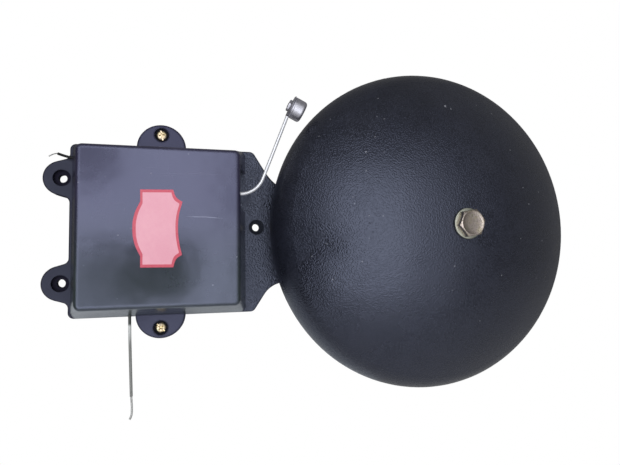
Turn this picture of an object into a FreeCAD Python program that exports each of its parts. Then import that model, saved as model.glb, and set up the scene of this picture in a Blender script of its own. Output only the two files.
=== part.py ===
import FreeCAD, Part
import math
import os
import re
import Sketcher
from FreeCAD import Placement, Rotation, Vector

# Wall bell with an outside gong and a hammer that an electromagnet throws against it.
#
# The frame: +X runs along the wall towards the gong, +Z runs up the wall, +Y goes into the wall.
# The wall is the plane y = 0, so a depth below is a distance out of the wall, towards -Y.
# The origin is where the axis of the fixing hole in the neck of the base meets the wall.

SIZES = (
    # fixing holes: one in the neck at the origin, two in the ears on the left
    ("fixing_radius", 3.5),
    ("fixing_sink_radius", 7.0),
    ("fixing_sink_depth", 4.0),
    ("ear_reach", 6.0),
    ("ear_half_pitch", 45.0),
    ("ear_radius", 15.0),
    ("ear_splay", 17.0),
    ("ear_root_round", 5.0),
    # base casting
    ("case_right_x", -10.5),
    ("case_centre_z", -3.5),
    ("base_width", 150.0),
    ("base_height", 150.0),
    ("base_thick", 10.0),
    ("base_corner_round", 5.0),
    ("casting_edge_round", 1.2),
    ("recess_depth", 5.0),
    ("recess_rim", 6.0),
    ("recess_rib", 5.0),
    ("shoulder_x", -3.0),
    ("shoulder_round", 6.0),
    ("neck_top_x", 19.5),
    ("neck_top_z", 35.8),
    ("neck_top_round", 40.0),
    ("neck_low_x", 12.7),
    ("neck_low_z", -54.5),
    ("neck_low_round", 24.0),
    ("arm_recess_start", 34.0),
    ("arm_recess_stop", 32.5),
    ("arm_rib_width", 8.0),
    ("boss_radius", 24.0),
    ("boss_thick", 14.0),
    # cover: a box that flares from its face to its foot, with a screw lug above and below
    ("foot_side_margin", 2.0),
    ("foot_end_margin", 0.3),
    ("side_flare", 12.0),
    ("end_flare", 11.2),
    ("face_shift", 1.5),
    ("coil_room", 1.0),
    ("cover_wall", 2.5),
    ("cover_corner_round", 5.0),
    ("face_round", 3.5),
    ("lug_shift", 0.5),
    ("lug_inset", 1.8),
    ("lug_radius", 21.0),
    ("lug_thick", 6.0),
    ("lug_edge_round", 1.5),
    ("lug_sink", 3.5),
    ("lug_sink_clearance", 1.45),
    ("lug_hole_clearance", 0.25),
    ("slot_below_rod", 14.0),
    ("slot_above_rod", 23.0),
    ("slot_roof", 5.0),
    ("outlet_radius", 2.2),
    ("left_outlet_drop", 1.7),
    ("left_outlet_rise", 0.5),
    ("low_outlet_drop", 0.3),
    ("cut_past", 1.0),
    ("cut_reach", 10.0),
    # cover screws
    ("cover_screw_reach", 10.0),
    ("cover_screw_radius", 2.5),
    ("cover_screw_length", 11.0),
    ("cover_screw_head_radius", 4.75),
    ("cover_screw_head", 3.0),
    # gong, its post and its bolt
    ("gong_edge_x", 8.5),
    ("gong_centre_z", -3.0),
    ("gong_radius", 150.0),
    ("gong_wall", 4.0),
    ("gong_rim", 34.0),
    ("dome_height", 76.9),
    ("haunch_radius", 38.0),
    ("gong_hole_clearance", 0.5),
    ("bolt_radius", 5.0),
    ("bolt_flats", 17.0),
    ("bolt_head", 6.4),
    ("bolt_turn", 10.0),
    ("bolt_chamfer", 30.0),
    ("bolt_crown_step", 0.4),
    ("bolt_length", 30.0),
    ("bolt_washer_radius", 12.7),
    ("bolt_washer", 2.0),
    ("fibre_washer_radius", 15.0),
    ("fibre_washer", 2.0),
    ("fibre_clearance", 0.1),
    ("post_radius", 11.0),
    ("post_foot_radius", 18.0),
    ("post_foot", 4.0),
    ("spigot_radius", 6.0),
    ("spigot_past_nut", 1.0),
    ("post_nut_flats", 18.0),
    ("post_nut", 6.0),
    ("post_nut_sink", 8.0),
    ("post_nut_room", 2.1),
    # magnet: a U of laminations that lies on its side, open towards the armature
    ("stack_depth", 38.0),
    ("stack_thick", 20.0),
    ("limb", 16.0),
    ("core_left", -110.0),
    ("core_low_z", -58.0),
    ("core_top_z", 13.0),
    ("pole_gap", 1.0),
    ("working_gap", 4.6),
    ("bobbin_wall", 1.5),
    ("bobbin_flange", 2.0),
    ("winding_thick", 9.0),
    ("winding_gap", 0.6),
    ("winding_round", 6.0),
    ("core_bolt_left_x", -98.0),
    ("core_bolt_right_x", -56.0),
    ("core_bolt_radius", 2.0),
    ("core_bolt_head_radius", 3.6),
    ("core_bolt_head", 2.8),
    ("core_bolt_end", 14.0),
    ("tap_past", 1.0),
    ("pillar_radius", 6.0),
    ("cheek_thick", 2.5),
    ("cheek_lobe_left", -72.0),
    ("cheek_lobe_right", -42.0),
    ("cheek_lobe_top", 40.0),
    ("cheek_nose", 5.5),
    ("cheek_round", 4.0),
    # armature and its pivot
    ("pivot_x", -28.0),
    ("pin_radius", 2.0),
    ("pin_head_step", 1.2),
    ("pin_head", 1.2),
    ("clip_ring", 1.8),
    ("clip_thick", 0.8),
    ("pin_past_clip", 0.8),
    ("hub_wall", 3.0),
    ("armature_left", -34.0),
    ("armature_thick", 5.0),
    ("armature_top_z", 37.0),
    ("cheek_clearance", 0.5),
    ("running_clearance", 0.05),
    ("screw_clearance", 0.05),
    # back stop and return spring
    ("stop_z", 33.5),
    ("stop_screw_radius", 2.0),
    ("stop_screw_left", -65.0),
    ("stop_nut_flats", 7.0),
    ("stop_nut", 3.2),
    ("buffer_radius", 3.0),
    ("buffer_length", 2.7),
    ("buffer_gap", 0.3),
    ("stop_bar_left", -54.0),
    ("stop_bar_right", -44.0),
    ("stop_bar_low_z", 24.5),
    ("bar_screw_z", 28.0),
    ("bar_screw_radius", 1.5),
    ("bar_screw_head_radius", 2.8),
    ("bar_screw_head", 1.8),
    ("bar_screw_length", 9.0),
    ("spring_z", 19.0),
    ("spring_post_x", -66.0),
    ("spring_post_radius", 1.5),
    ("spring_radius", 3.0),
    ("spring_wire", 0.8),
    ("spring_coil_left", -61.0),
    ("spring_coil_right", -40.0),
    ("spring_turns", 12),
    # hammer
    ("rod_offset", 2.0),
    ("rod_radius", 1.5),
    ("rod_z", 27.0),
    ("rod_tail", 4.0),
    ("strike_gap", 9.13),
    ("rod_bend_radius", 22.0),
    ("rod_bend_angle", 68.5),
    ("rod_reach", 61.3),
    ("rod_nut_flats", 5.5),
    ("rod_nut", 2.4),
    ("head_tilt", 26.0),
    ("head_radius", 9.25),
    ("head_length", 11.5),
    ("head_round", 2.2),
    ("stud_radius", 2.5),
    ("stud_length", 6.0),
    ("hammer_washer_radius", 10.25),
    ("hammer_washer", 1.6),
    ("hammer_nut_flats", 8.0),
    ("hammer_nut", 3.6),
    # terminals
    ("terminal_block", 3.0),
    ("terminal_block_length", 18.0),
    ("terminal_block_width", 12.0),
    ("barrel_radius", 3.0),
    ("barrel_bore", 1.7),
    ("barrel_length", 14.0),
    ("clamp_gap", 0.3),
    ("terminal_screw_radius", 1.5),
    ("terminal_screw_length", 4.0),
    ("upper_terminal_inset", 24.5),
    ("upper_terminal_drop", 14.0),
    ("lower_terminal_past_lug", 4.5),
    ("lower_terminal_rise", 17.5),
    # leads
    ("upper_lead_radius", 1.1),
    ("upper_core_radius", 0.45),
    ("lower_lead_radius", 1.25),
    ("lower_core_radius", 0.9),
    ("coil_lead_radius", 0.8),
)

# Routes of the leads, as points (x, y, z) from the middle of the terminal that each one enters.
UPPER_LEAD = ((-1.5, 0.0, 0.0), (-13.0, 0.0, 0.0), (-24.6, 3.0, 0.9), (-33.3, 4.0, 4.3))
UPPER_TIP = ((-33.6, 4.0, 4.4), (-36.9, 4.2, 4.2), (-40.3, 4.4, 1.7))
LOWER_LEAD = ((0.0, 0.0, -4.5), (0.0, 0.0, -15.0), (0.1, 1.6, -34.0), (0.6, 4.6, -60.0), (1.3, 5.4, -85.4))
LOWER_TIP = ((1.3, 5.4, -85.7), (1.7, 5.5, -91.8), (1.9, 5.6, -98.6), (1.5, 5.6, -102.6), (0.1, 5.7, -104.9))

# The coil leads start at the coil, from the outer left corner of a flange at the middle of its depth.
COIL_LEAD_UPPER_START = ((3.0, 14.0, 0.4), (3.0, 16.0, 21.5), (3.5, 20.5, 43.5))
COIL_LEAD_UPPER_END = ((16.5, 0.0, 0.0), (4.5, 0.0, 0.0))
COIL_LEAD_LOWER_START = ((3.0, 14.0, -0.4), (3.5, 15.8, -5.0))
COIL_LEAD_LOWER_END = ((0.0, 0.0, 11.0), (0.0, 0.0, 4.5))

doc = FreeCAD.newDocument("wall_bell")
sheet = doc.addObject("Spreadsheet::Sheet", "Sizes")
for row, (alias, number) in enumerate(SIZES, start=1):
    sheet.set("A%d" % row, alias)
    sheet.set("B%d" % row, str(number))
    sheet.setAlias("B%d" % row, alias)
doc.recompute()
ALIASES = {alias for alias, number in SIZES}

OUT = Rotation(Vector(1, 0, 0), 90)  # a primitive's own z points out of the wall
RIGHT = Rotation(Vector(0, 1, 0), 90)  # a primitive's own z points along +X
UP = Rotation()


def size(alias):
    """The number in one cell of the sheet."""
    return float(sheet.get(alias))


def formula(text):
    """An expression in the names of the sheet, ready for setExpression."""
    return re.sub(r"[a-z_]+", lambda m: "Sizes." + m.group() if m.group() in ALIASES else m.group(), text)


def bind(thing, **properties):
    """Ties properties of an object to the sheet."""
    for name, text in properties.items():
        thing.setExpression(name, formula(text))
    return thing


def place(thing, x, depth, z, turn=OUT):
    """Puts an object at x, z and a depth out of the wall, with its own z axis turned."""
    thing.Placement = Placement(Vector(), turn)
    thing.setExpression("Placement.Base.x", formula(x))
    thing.setExpression("Placement.Base.y", formula("-(%s)" % depth))
    thing.setExpression("Placement.Base.z", formula(z))
    return thing


def cylinder(name, radius, length, x, depth, z, turn=OUT):
    thing = doc.addObject("Part::Cylinder", name)
    bind(thing, Radius=radius, Height=length)
    return place(thing, x, depth, z, turn)


def hexagon(name, flats, length, x, depth, z, turn=OUT):
    """A hexagonal prism, sized across its flats."""
    thing = doc.addObject("Part::Prism", name)
    thing.Polygon = 6
    bind(thing, Circumradius="(%s) / 2 / cos(30)" % flats, Height=length)
    return place(thing, x, depth, z, turn)


def block(name, left, right, near, far, low, top):
    """A box between two x, two depths (near the wall, far from it) and two z."""
    thing = doc.addObject("Part::Box", name)
    bind(thing, Length="(%s) - (%s)" % (right, left), Width="(%s) - (%s)" % (far, near),
         Height="(%s) - (%s)" % (top, low))
    return place(thing, left, far, low, UP)


def fuse(name, *things):
    thing = doc.addObject("Part::MultiFuse", name)
    thing.Shapes = list(things)
    return thing


def cut(name, base, *tools):
    thing = doc.addObject("Part::Cut", name)
    thing.Base = base
    thing.Tool = tools[0] if len(tools) == 1 else fuse(name + "_tools", *tools)
    return thing


def group(name, *things):
    """Separate solids of one kind, kept in one node."""
    thing = doc.addObject("Part::Compound", name)
    thing.Links = list(things)
    return thing


class Piece:
    """A PartDesign body. On the wall plane a sketch has x to the right and y up, and a pad grows
    out of the wall. A start is the sketch's distance along its plane's normal."""

    def __init__(self, name, plane="XZ_Plane"):
        self.body = doc.addObject("PartDesign::Body", name)
        self.plane = [f for f in self.body.Origin.OriginFeatures if f.Role == plane][0]
        self.count = 0

    def feature(self, kind):
        self.count += 1
        return self.body.newObject(kind, "%s_%02d" % (self.body.Name, self.count))

    def sketch(self, start="0"):
        sketch = self.feature("Sketcher::SketchObject")
        sketch.AttachmentSupport = (self.plane, [""])
        sketch.MapMode = "FlatFace"
        sketch.setExpression("AttachmentOffset.Base.z", formula(start))
        return sketch

    def outline(self, points, start="0"):
        """A closed outline of straight lines through points, each tied to the sheet."""
        sketch = self.sketch(start)
        count = len(points)
        ring = [Vector(math.cos(2 * math.pi * i / count), math.sin(2 * math.pi * i / count), 0)
                for i in range(count)]
        for i in range(count):
            sketch.addGeometry(Part.LineSegment(ring[i], ring[(i + 1) % count]))
        for i in range(count):
            sketch.addConstraint(Sketcher.Constraint("Coincident", i, 2, (i + 1) % count, 1))
        for i, (x, y) in enumerate(points):
            pin(sketch, i, 1, x, y)
        return sketch

    def box(self, left, right, low, top, start="0"):
        return self.outline(((left, low), (right, low), (right, top), (left, top)), start)

    def circle(self, x, y, radius, start="0"):
        sketch = self.sketch(start)
        sketch.addGeometry(Part.Circle(Vector(), Vector(0, 0, 1), 1))
        pin(sketch, 0, 3, x, y)
        hold(sketch, "Radius", (0,), radius)
        return sketch

    def pad(self, sketch, length):
        pad = self.feature("PartDesign::Pad")
        pad.Profile = sketch
        return bind(pad, Length=length)

    def pocket(self, sketch, length, outwards=False):
        """Cuts back towards the plane, or outwards, away from it."""
        pocket = self.feature("PartDesign::Pocket")
        pocket.Profile = sketch
        pocket.Reversed = outwards
        return bind(pocket, Length=length)

    def loft(self, kind, first, last):
        loft = self.feature(kind)
        loft.Profile = first
        loft.Sections = [last]
        loft.Ruled = True
        return loft

    def fillet(self, radius, chosen):
        """Rounds the edges of the body so far that chosen(edge) picks."""
        doc.recompute()
        base = self.body.Tip
        names = ["Edge%d" % i for i, e in enumerate(base.Shape.Edges, start=1) if chosen(e)]
        fillet = self.feature("PartDesign::Fillet")
        fillet.Base = (base, names)
        return bind(fillet, Radius=radius)


def hold(sketch, kind, where, text, guess=1.0):
    """Adds a dimension to a sketch and ties it to the sheet."""
    index = sketch.addConstraint(Sketcher.Constraint(kind, *where, guess))
    sketch.setExpression("Constraints[%d]" % index, formula(text))


def pin(sketch, geometry, point, x, y):
    """Holds a point of a sketch at two coordinates."""
    hold(sketch, "DistanceX", (-1, 1, geometry, point), x)
    hold(sketch, "DistanceY", (-1, 1, geometry, point), y)


def upright_at(*places):
    """Picks straight edges that stand on the wall plane at one of some (x, z)."""
    def chosen(edge):
        a, b = edge.Vertexes[0].Point, edge.Vertexes[-1].Point
        stands = abs(a.x - b.x) < 1e-4 and abs(a.z - b.z) < 1e-4 and abs(a.y - b.y) > 1e-3
        return stands and any(math.hypot(a.x - x, a.z - z) < 1e-3 for x, z in places)
    return chosen


def flat_at(depth):
    """Picks the edges that lie all along one depth."""
    return lambda edge: all(abs(v.Point.y + depth) < 1e-3 for v in edge.Vertexes)


# ---------------------------------------------------------------- base casting

LEFT = "case_right_x - base_width"
MIDDLE = "case_right_x - base_width / 2"
EAR_X = LEFT + " - ear_reach"
GONG_X = "(gong_edge_x + gong_radius)"
LOW = "case_centre_z - base_height / 2"
TOP = "case_centre_z + base_height / 2"
UPPER_ARM_Z = "core_top_z - limb / 2"
LOWER_ARM_Z = "core_low_z + limb / 2"
LUG_X = MIDDLE + " + lug_shift"

def lug_z(side):
    """The height of a lug's centre, above the case's own centre or below it."""
    return "case_centre_z %s (base_height / 2 - lug_inset)" % side

def cover_screw_z(side):
    return "case_centre_z %s (base_height / 2 + cover_screw_reach)" % side

BARREL_DEPTH = "base_thick + terminal_block + barrel_radius"
UPPER_TERMINAL_X = LEFT + " + upper_terminal_inset"
UPPER_TERMINAL_Z = TOP + " - upper_terminal_drop"
LOWER_TERMINAL_X = LUG_X + " - lug_radius - lower_terminal_past_lug"
LOWER_TERMINAL_Z = LOW + " + lower_terminal_rise"
REAR_CHEEK = "stack_depth - stack_thick / 2 - cheek_thick"
CORE_REAR = "stack_depth - stack_thick / 2"
CORE_FRONT = "stack_depth + stack_thick / 2"
COVER_DEPTH = CORE_FRONT + " + bobbin_wall + winding_thick + coil_room + cover_wall"

base_left = size("case_right_x") - size("base_width")
base_low = size("case_centre_z") - size("base_height") / 2
base_top = size("case_centre_z") + size("base_height") / 2

# an ear's two flanks touch its round end and spread apart towards the plate, each by the splay
TOUCH_X = EAR_X + " - ear_radius * sin(ear_splay)"
TOUCH_RISE = "ear_radius * cos(ear_splay)"
SPREAD_X = LEFT + " + recess_rim"
SPREAD_RISE = "%s + (%s - (%s)) * tan(ear_splay)" % (TOUCH_RISE, SPREAD_X, TOUCH_X)
splay = math.radians(size("ear_splay"))
touch_x = base_left - size("ear_reach") - size("ear_radius") * math.sin(splay)
root_rise = size("ear_radius") * math.cos(splay) + (base_left - touch_x) * math.tan(splay)
ear_roots = [size("case_centre_z") + ear * size("ear_half_pitch") + flank * root_rise
             for ear in (1, -1) for flank in (1, -1)]

base = Piece("base_casting")
base.pad(base.outline(((LEFT, LOW), ("shoulder_x", LOW), ("neck_low_x", "neck_low_z"),
                       (GONG_X, "gong_centre_z - boss_radius"), (GONG_X, "gong_centre_z + boss_radius"),
                       ("neck_top_x", "neck_top_z"), ("shoulder_x", TOP), (LEFT, TOP))), "base_thick")
base.fillet("base_corner_round", upright_at((base_left, base_low), (base_left, base_top)))
base.fillet("shoulder_round", upright_at((size("shoulder_x"), base_low), (size("shoulder_x"), base_top)))
base.fillet("neck_low_round", upright_at((size("neck_low_x"), size("neck_low_z"))))
base.fillet("neck_top_round", upright_at((size("neck_top_x"), size("neck_top_z"))))

for side in "+-":
    ear_z = "case_centre_z %s ear_half_pitch" % side
    base.pad(base.outline([(TOUCH_X, "%s - (%s)" % (ear_z, TOUCH_RISE)),
                           (SPREAD_X, "%s - (%s)" % (ear_z, SPREAD_RISE)),
                           (SPREAD_X, "%s + (%s)" % (ear_z, SPREAD_RISE)),
                           (TOUCH_X, "%s + (%s)" % (ear_z, TOUCH_RISE))]), "base_thick")
    base.pad(base.circle(EAR_X, ear_z, "ear_radius"), "base_thick")
base.fillet("ear_root_round", upright_at(*[(base_left, z) for z in ear_roots]))
base.fillet("casting_edge_round", flat_at(size("base_thick")))
for side in "+-":
    base.pad(base.circle(LUG_X, lug_z(side), "lug_radius"), "base_thick")

# the arm widens into a boss under the gong and has a rib along its front
base.pad(base.circle(GONG_X, "gong_centre_z", "boss_radius"), "boss_thick")
base.pad(base.box("arm_recess_start", GONG_X, "gong_centre_z - arm_rib_width / 2",
                  "gong_centre_z + arm_rib_width / 2"), "boss_thick")

# four pillars carry the magnet: the upper two end one cheek lower
for x in ("core_bolt_left_x", "core_bolt_right_x"):
    base.pad(base.circle(x, UPPER_ARM_Z, "pillar_radius"), REAR_CHEEK)
    base.pad(base.circle(x, LOWER_ARM_Z, "pillar_radius"), CORE_REAR)

# the back is hollow, with a rim, a cross of ribs and a solid web round the neck hole
rib_z = ("case_centre_z - recess_rib / 2", "case_centre_z + recess_rib / 2")
rib_x = (MIDDLE + " - recess_rib / 2", MIDDLE + " + recess_rib / 2")
inner_right = "case_right_x - recess_rim"
for low, top in ((LOW + " + recess_rim", rib_z[0]), (rib_z[1], TOP + " - recess_rim")):
    for left, right in ((LEFT + " + recess_rim", rib_x[0]), (rib_x[1], inner_right)):
        base.pocket(base.box(left, right, low, top), "recess_depth", outwards=True)

# the arm is hollow behind too, inside a rim that follows its two sloping edges
def arm_edge(x, far_sign, near_x, near_z):
    """The height of an arm edge at x, less the rim."""
    far_z = "(gong_centre_z %s boss_radius)" % far_sign
    back = "-" if far_sign == "+" else "+"
    return ("%s + (%s - %s) * (%s - %s) / (%s - %s) %s recess_rim"
            % (near_z, far_z, near_z, x, near_x, GONG_X, near_x, back))

ARM_RECESS_END = "(%s - arm_recess_stop)" % GONG_X

base.pocket(base.outline([
    ("arm_recess_start", arm_edge("arm_recess_start", "-", "neck_low_x", "neck_low_z")),
    (ARM_RECESS_END, arm_edge(ARM_RECESS_END, "-", "neck_low_x", "neck_low_z")),
    (ARM_RECESS_END, arm_edge(ARM_RECESS_END, "+", "neck_top_x", "neck_top_z")),
    ("arm_recess_start", arm_edge("arm_recess_start", "+", "neck_top_x", "neck_top_z"))]),
    "recess_depth", outwards=True)

# holes: fixing holes with their sinks, tapped holes for the cover screws and the core bolts, the post
fixings = [("0", "0")] + [(EAR_X, "case_centre_z %s ear_half_pitch" % side) for side in "+-"]
for x, z in fixings:
    base.pocket(base.circle(x, z, "fixing_radius", "base_thick"), "base_thick")
    base.pocket(base.circle(x, z, "fixing_sink_radius", "base_thick"), "fixing_sink_depth")
for side in "+-":
    base.pocket(base.circle(LUG_X, cover_screw_z(side), "cover_screw_radius + screw_clearance", "base_thick"),
                "base_thick")
for x in ("core_bolt_left_x", "core_bolt_right_x"):
    for z, top in ((UPPER_ARM_Z, REAR_CHEEK), (LOWER_ARM_Z, CORE_REAR)):
        base.pocket(base.circle(x, z, "core_bolt_radius + screw_clearance", top),
                    "(%s) - core_bolt_end + tap_past" % top)
base.pocket(base.circle(GONG_X, "gong_centre_z", "spigot_radius + screw_clearance", "boss_thick"),
            "boss_thick")
base.pocket(base.circle(GONG_X, "gong_centre_z", "post_nut_flats / 2 / cos(30) + post_nut_room"),
            "post_nut_sink", outwards=True)

# ---------------------------------------------------------------- cover

FOOT_LEFT = LEFT + " + foot_side_margin"
FOOT_LOW = LOW + " + foot_end_margin"
FOOT_TOP = TOP + " - foot_end_margin"
FACE_RIGHT = "case_right_x - side_flare + face_shift"

def foot(piece, start, shrink):
    """The cover's cross-section at its foot, shrunk on every side."""
    return piece.box("%s + %s" % (FOOT_LEFT, shrink), "case_right_x - " + shrink,
                     "%s + %s" % (FOOT_LOW, shrink), "%s - %s" % (FOOT_TOP, shrink), start)

def face(piece, start, shrink):
    """The cover's cross-section at its face, shrunk on every side."""
    return piece.box("%s + side_flare + face_shift + %s" % (FOOT_LEFT, shrink),
                     "%s - %s" % (FACE_RIGHT, shrink), "%s + end_flare + %s" % (FOOT_LOW, shrink),
                     "%s - end_flare - %s" % (FOOT_TOP, shrink), start)

def slanted(shape_depth):
    """Picks the four slanted corner edges of the flared box, by their length in depth."""
    def chosen(edge):
        ys = [v.Point.y for v in edge.Vertexes]
        return max(ys) - min(ys) > 0.9 * shape_depth
    return chosen

def lug_rim(edge):
    """Picks the round outer edges of the lugs, away from the wall."""
    flat = flat_at(size("base_thick") + size("lug_thick"))(edge)
    return flat and hasattr(edge.Curve, "Radius") and abs(edge.Curve.Radius - size("lug_radius")) < 1e-3

shell = Piece("cover_shell")
shell.loft("PartDesign::AdditiveLoft", foot(shell, "base_thick", "0"), face(shell, COVER_DEPTH, "0"))
cover_depth = (size("stack_depth") + size("stack_thick") / 2 + size("bobbin_wall") + size("winding_thick")
               + size("coil_room") + size("cover_wall"))
shell.fillet("cover_corner_round", slanted(cover_depth - size("base_thick")))
shell.fillet("face_round", flat_at(cover_depth))
LUG_TOP = "base_thick + lug_thick"
for side in "+-":
    shell.pad(shell.circle(LUG_X, lug_z(side), "lug_radius", "base_thick"), "lug_thick")
shell.fillet("lug_edge_round", lug_rim)
shell.loft("PartDesign::SubtractiveLoft", foot(shell, "base_thick", "cover_wall"),
           face(shell, COVER_DEPTH + " - cover_wall", "cover_wall"))
for side in "+-":
    for radius, depth in (("cover_screw_radius + lug_hole_clearance", "lug_thick"),
                          ("cover_screw_head_radius + lug_sink_clearance", "lug_sink")):
        shell.pocket(shell.circle(LUG_X, cover_screw_z(side), radius, LUG_TOP), depth)

# the hammer slot and the two round-topped lead outlets leave the foot open
LEFT_OUTLET_Z = UPPER_TERMINAL_Z + " + left_outlet_rise"
LEFT_OUTLET_DEPTH = BARREL_DEPTH + " - left_outlet_drop"
LOW_OUTLET_DEPTH = BARREL_DEPTH + " - low_outlet_drop"
CUT_LEFT, CUT_LOW = FOOT_LEFT + " - cover_wall", FOOT_LOW + " - cover_wall"
CUT_NEAR = "base_thick - cut_past"
notches = [block("hammer_slot", FACE_RIGHT + " - cut_reach", "case_right_x + cover_wall", CUT_NEAR,
                 COVER_DEPTH + " - slot_roof", "rod_z - slot_below_rod", "rod_z + slot_above_rod"),
           cylinder("left_outlet", "outlet_radius", "cut_reach", CUT_LEFT, LEFT_OUTLET_DEPTH,
                    LEFT_OUTLET_Z, RIGHT),
           block("left_notch", CUT_LEFT, CUT_LEFT + " + cut_reach", CUT_NEAR, LEFT_OUTLET_DEPTH,
                 LEFT_OUTLET_Z + " - outlet_radius", LEFT_OUTLET_Z + " + outlet_radius"),
           cylinder("low_outlet", "outlet_radius", "cut_reach", LOWER_TERMINAL_X, LOW_OUTLET_DEPTH,
                    CUT_LOW, UP),
           block("low_notch", LOWER_TERMINAL_X + " - outlet_radius", LOWER_TERMINAL_X + " + outlet_radius",
                 CUT_NEAR, LOW_OUTLET_DEPTH, CUT_LOW, CUT_LOW + " + cut_reach")]
cut("cover", shell.body, *notches)

# ---------------------------------------------------------------- cover screws

screws = []
for number, side in enumerate("+-"):
    z = cover_screw_z(side)
    seat = LUG_TOP + " - lug_sink"
    head = cylinder("pan_head_%d" % number, "cover_screw_head_radius", "cover_screw_head", LUG_X, seat, z)
    shank = cylinder("screw_shank_%d" % number, "cover_screw_radius", "cover_screw_length", LUG_X,
                     seat + " - cover_screw_length", z)
    screws.append(fuse("cover_screw_%d" % number, head, shank))
group("cover_screws", *screws)

# ---------------------------------------------------------------- gong and what holds it

CROWN = "gong_rim + dome_height"
CROWN_RADIUS = ("(((gong_radius - haunch_radius) ^ 2 + dome_height ^ 2 - haunch_radius ^ 2)"
                " / (2 * (dome_height - haunch_radius)))")

# The profile lies in x = distance from the gong's axis, y = minus the depth. A haunch arc stands
# on the rim and runs on into the wide crown arc, outside and again one wall further in.
haunch_x = size("gong_radius") - size("haunch_radius")
rise = size("dome_height")
crown_radius = (haunch_x ** 2 + rise ** 2 - size("haunch_radius") ** 2) / (2 * (rise - size("haunch_radius")))
rim_y = -size("gong_rim")
crown_y = crown_radius + rim_y - rise
join_angle = math.atan2(rim_y - crown_y, haunch_x)
apex_angle = -math.pi / 2
hole_x = size("bolt_radius") + size("gong_hole_clearance")
HOLE = "(bolt_radius + gong_hole_clearance)"

gong = Piece("gong", "XY_Plane")
profile = gong.sketch()
for crown, wall in ((0, "0"), (2, "gong_wall")):
    haunch = crown + 1
    inset = size(wall) if wall in ALIASES else 0.0
    crown_arc, haunch_arc = crown_radius - inset, size("haunch_radius") - inset
    hole_angle = apex_angle + math.asin(hole_x / crown_arc)
    profile.addGeometry(Part.ArcOfCircle(Part.Circle(Vector(0, crown_y, 0), Vector(0, 0, 1), crown_arc),
                                         hole_angle, join_angle))
    profile.addGeometry(Part.ArcOfCircle(Part.Circle(Vector(haunch_x, rim_y, 0), Vector(0, 0, 1), haunch_arc),
                                         join_angle, 0))
    profile.addConstraint(Sketcher.Constraint("PointOnObject", crown, 3, -2))
    hold(profile, "DistanceX", (-1, 1, haunch, 3), "gong_radius - haunch_radius", haunch_x)
    hold(profile, "DistanceY", (-1, 1, haunch, 3), "-gong_rim", rim_y)
    hold(profile, "Radius", (haunch,), "haunch_radius - " + wall, haunch_arc)
    hold(profile, "Radius", (crown,), CROWN_RADIUS + " - " + wall, crown_arc)
    hold(profile, "DistanceX", (-1, 1, crown, 1), HOLE, hole_x)
    hold(profile, "DistanceY", (-1, 1, haunch, 2), "-gong_rim", rim_y)
    profile.addConstraint(Sketcher.Constraint("Tangent", crown, 2, haunch, 1))
for arc, end in ((1, 2), (0, 1)):
    outer, inner = [profile.getPoint(arc + step, end) for step in (0, 2)]
    edge = profile.addGeometry(Part.LineSegment(outer, inner))
    profile.addConstraint(Sketcher.Constraint("Coincident", arc, end, edge, 1))
    profile.addConstraint(Sketcher.Constraint("Coincident", arc + 2, end, edge, 2))
turn = gong.feature("PartDesign::Revolution")
turn.Profile = profile
turn.ReferenceAxis = (profile, ["V_Axis"])
turn.Angle = 360
bind(gong.body, **{"Placement.Base.x": GONG_X, "Placement.Base.z": "gong_centre_z"})

GONG = (GONG_X, "gong_centre_z")

def on_gong(name, radius, length, depth):
    """A cylinder on the gong's axis."""
    return cylinder(name, radius, length, GONG[0], depth, GONG[1])

cut("gong_washer", on_gong("gong_washer_disc", "bolt_washer_radius", "bolt_washer", CROWN),
    on_gong("gong_washer_hole", HOLE, "bolt_washer", CROWN))
bolt_seat = CROWN + " + bolt_washer"
bolt_turned = Rotation(Vector(0, -1, 0), size("bolt_turn")) * OUT
bolt_cone = doc.addObject("Part::Cone", "gong_bolt_chamfer")
bind(bolt_cone, Radius1="bolt_flats / 2 - bolt_crown_step + bolt_head / tan(bolt_chamfer)",
     Radius2="bolt_flats / 2 - bolt_crown_step", Height="bolt_head")
place(bolt_cone, GONG[0], bolt_seat, GONG[1])
bolt_head = doc.addObject("Part::Common", "gong_bolt_head")
bolt_head.Base = hexagon("gong_bolt_hexagon", "bolt_flats", "bolt_head", GONG[0], bolt_seat, GONG[1],
                         bolt_turned)
bolt_head.Tool = bolt_cone
fuse("gong_bolt", bolt_head,
     on_gong("gong_bolt_shank", "bolt_radius", "bolt_length", bolt_seat + " - bolt_length"))
INNER_CROWN = "(%s - gong_wall)" % CROWN_RADIUS
washer_sag = "(%s - sqrt(%s ^ 2 - fibre_washer_radius ^ 2))" % (INNER_CROWN, INNER_CROWN)
fibre_top = "%s - gong_wall - %s - fibre_clearance" % (CROWN, washer_sag)
post_top = fibre_top + " - fibre_washer"
cut("fibre_washer", on_gong("fibre_washer_disc", "fibre_washer_radius", "fibre_washer", post_top),
    on_gong("fibre_washer_hole", HOLE, "fibre_washer", post_top))
spigot_near = "post_nut_sink - post_nut - spigot_past_nut"
cut("gong_post",
    fuse("gong_post_blank", on_gong("post_foot_disc", "post_foot_radius", "post_foot", "boss_thick"),
         on_gong("post_shaft", "post_radius", post_top + " - boss_thick", "boss_thick"),
         on_gong("post_spigot", "spigot_radius", "boss_thick - (%s)" % spigot_near, spigot_near)),
    on_gong("post_tapped_hole", "bolt_radius + screw_clearance", "bolt_length",
            bolt_seat + " - bolt_length - tap_past"))
nut_near = "post_nut_sink - post_nut"
cut("post_nut", hexagon("post_nut_blank", "post_nut_flats", "post_nut", GONG[0], nut_near, GONG[1]),
    on_gong("post_nut_hole", "spigot_radius + screw_clearance", "post_nut", nut_near))

# ---------------------------------------------------------------- magnet

POLE_X = "armature_left - pole_gap"
WORKING_POLE_X = "armature_left - working_gap"
YOKE_RIGHT = "core_left + limb"
WINDOW_LOW = "core_low_z + limb"
WINDOW_TOP = "core_top_z - limb"

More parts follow.
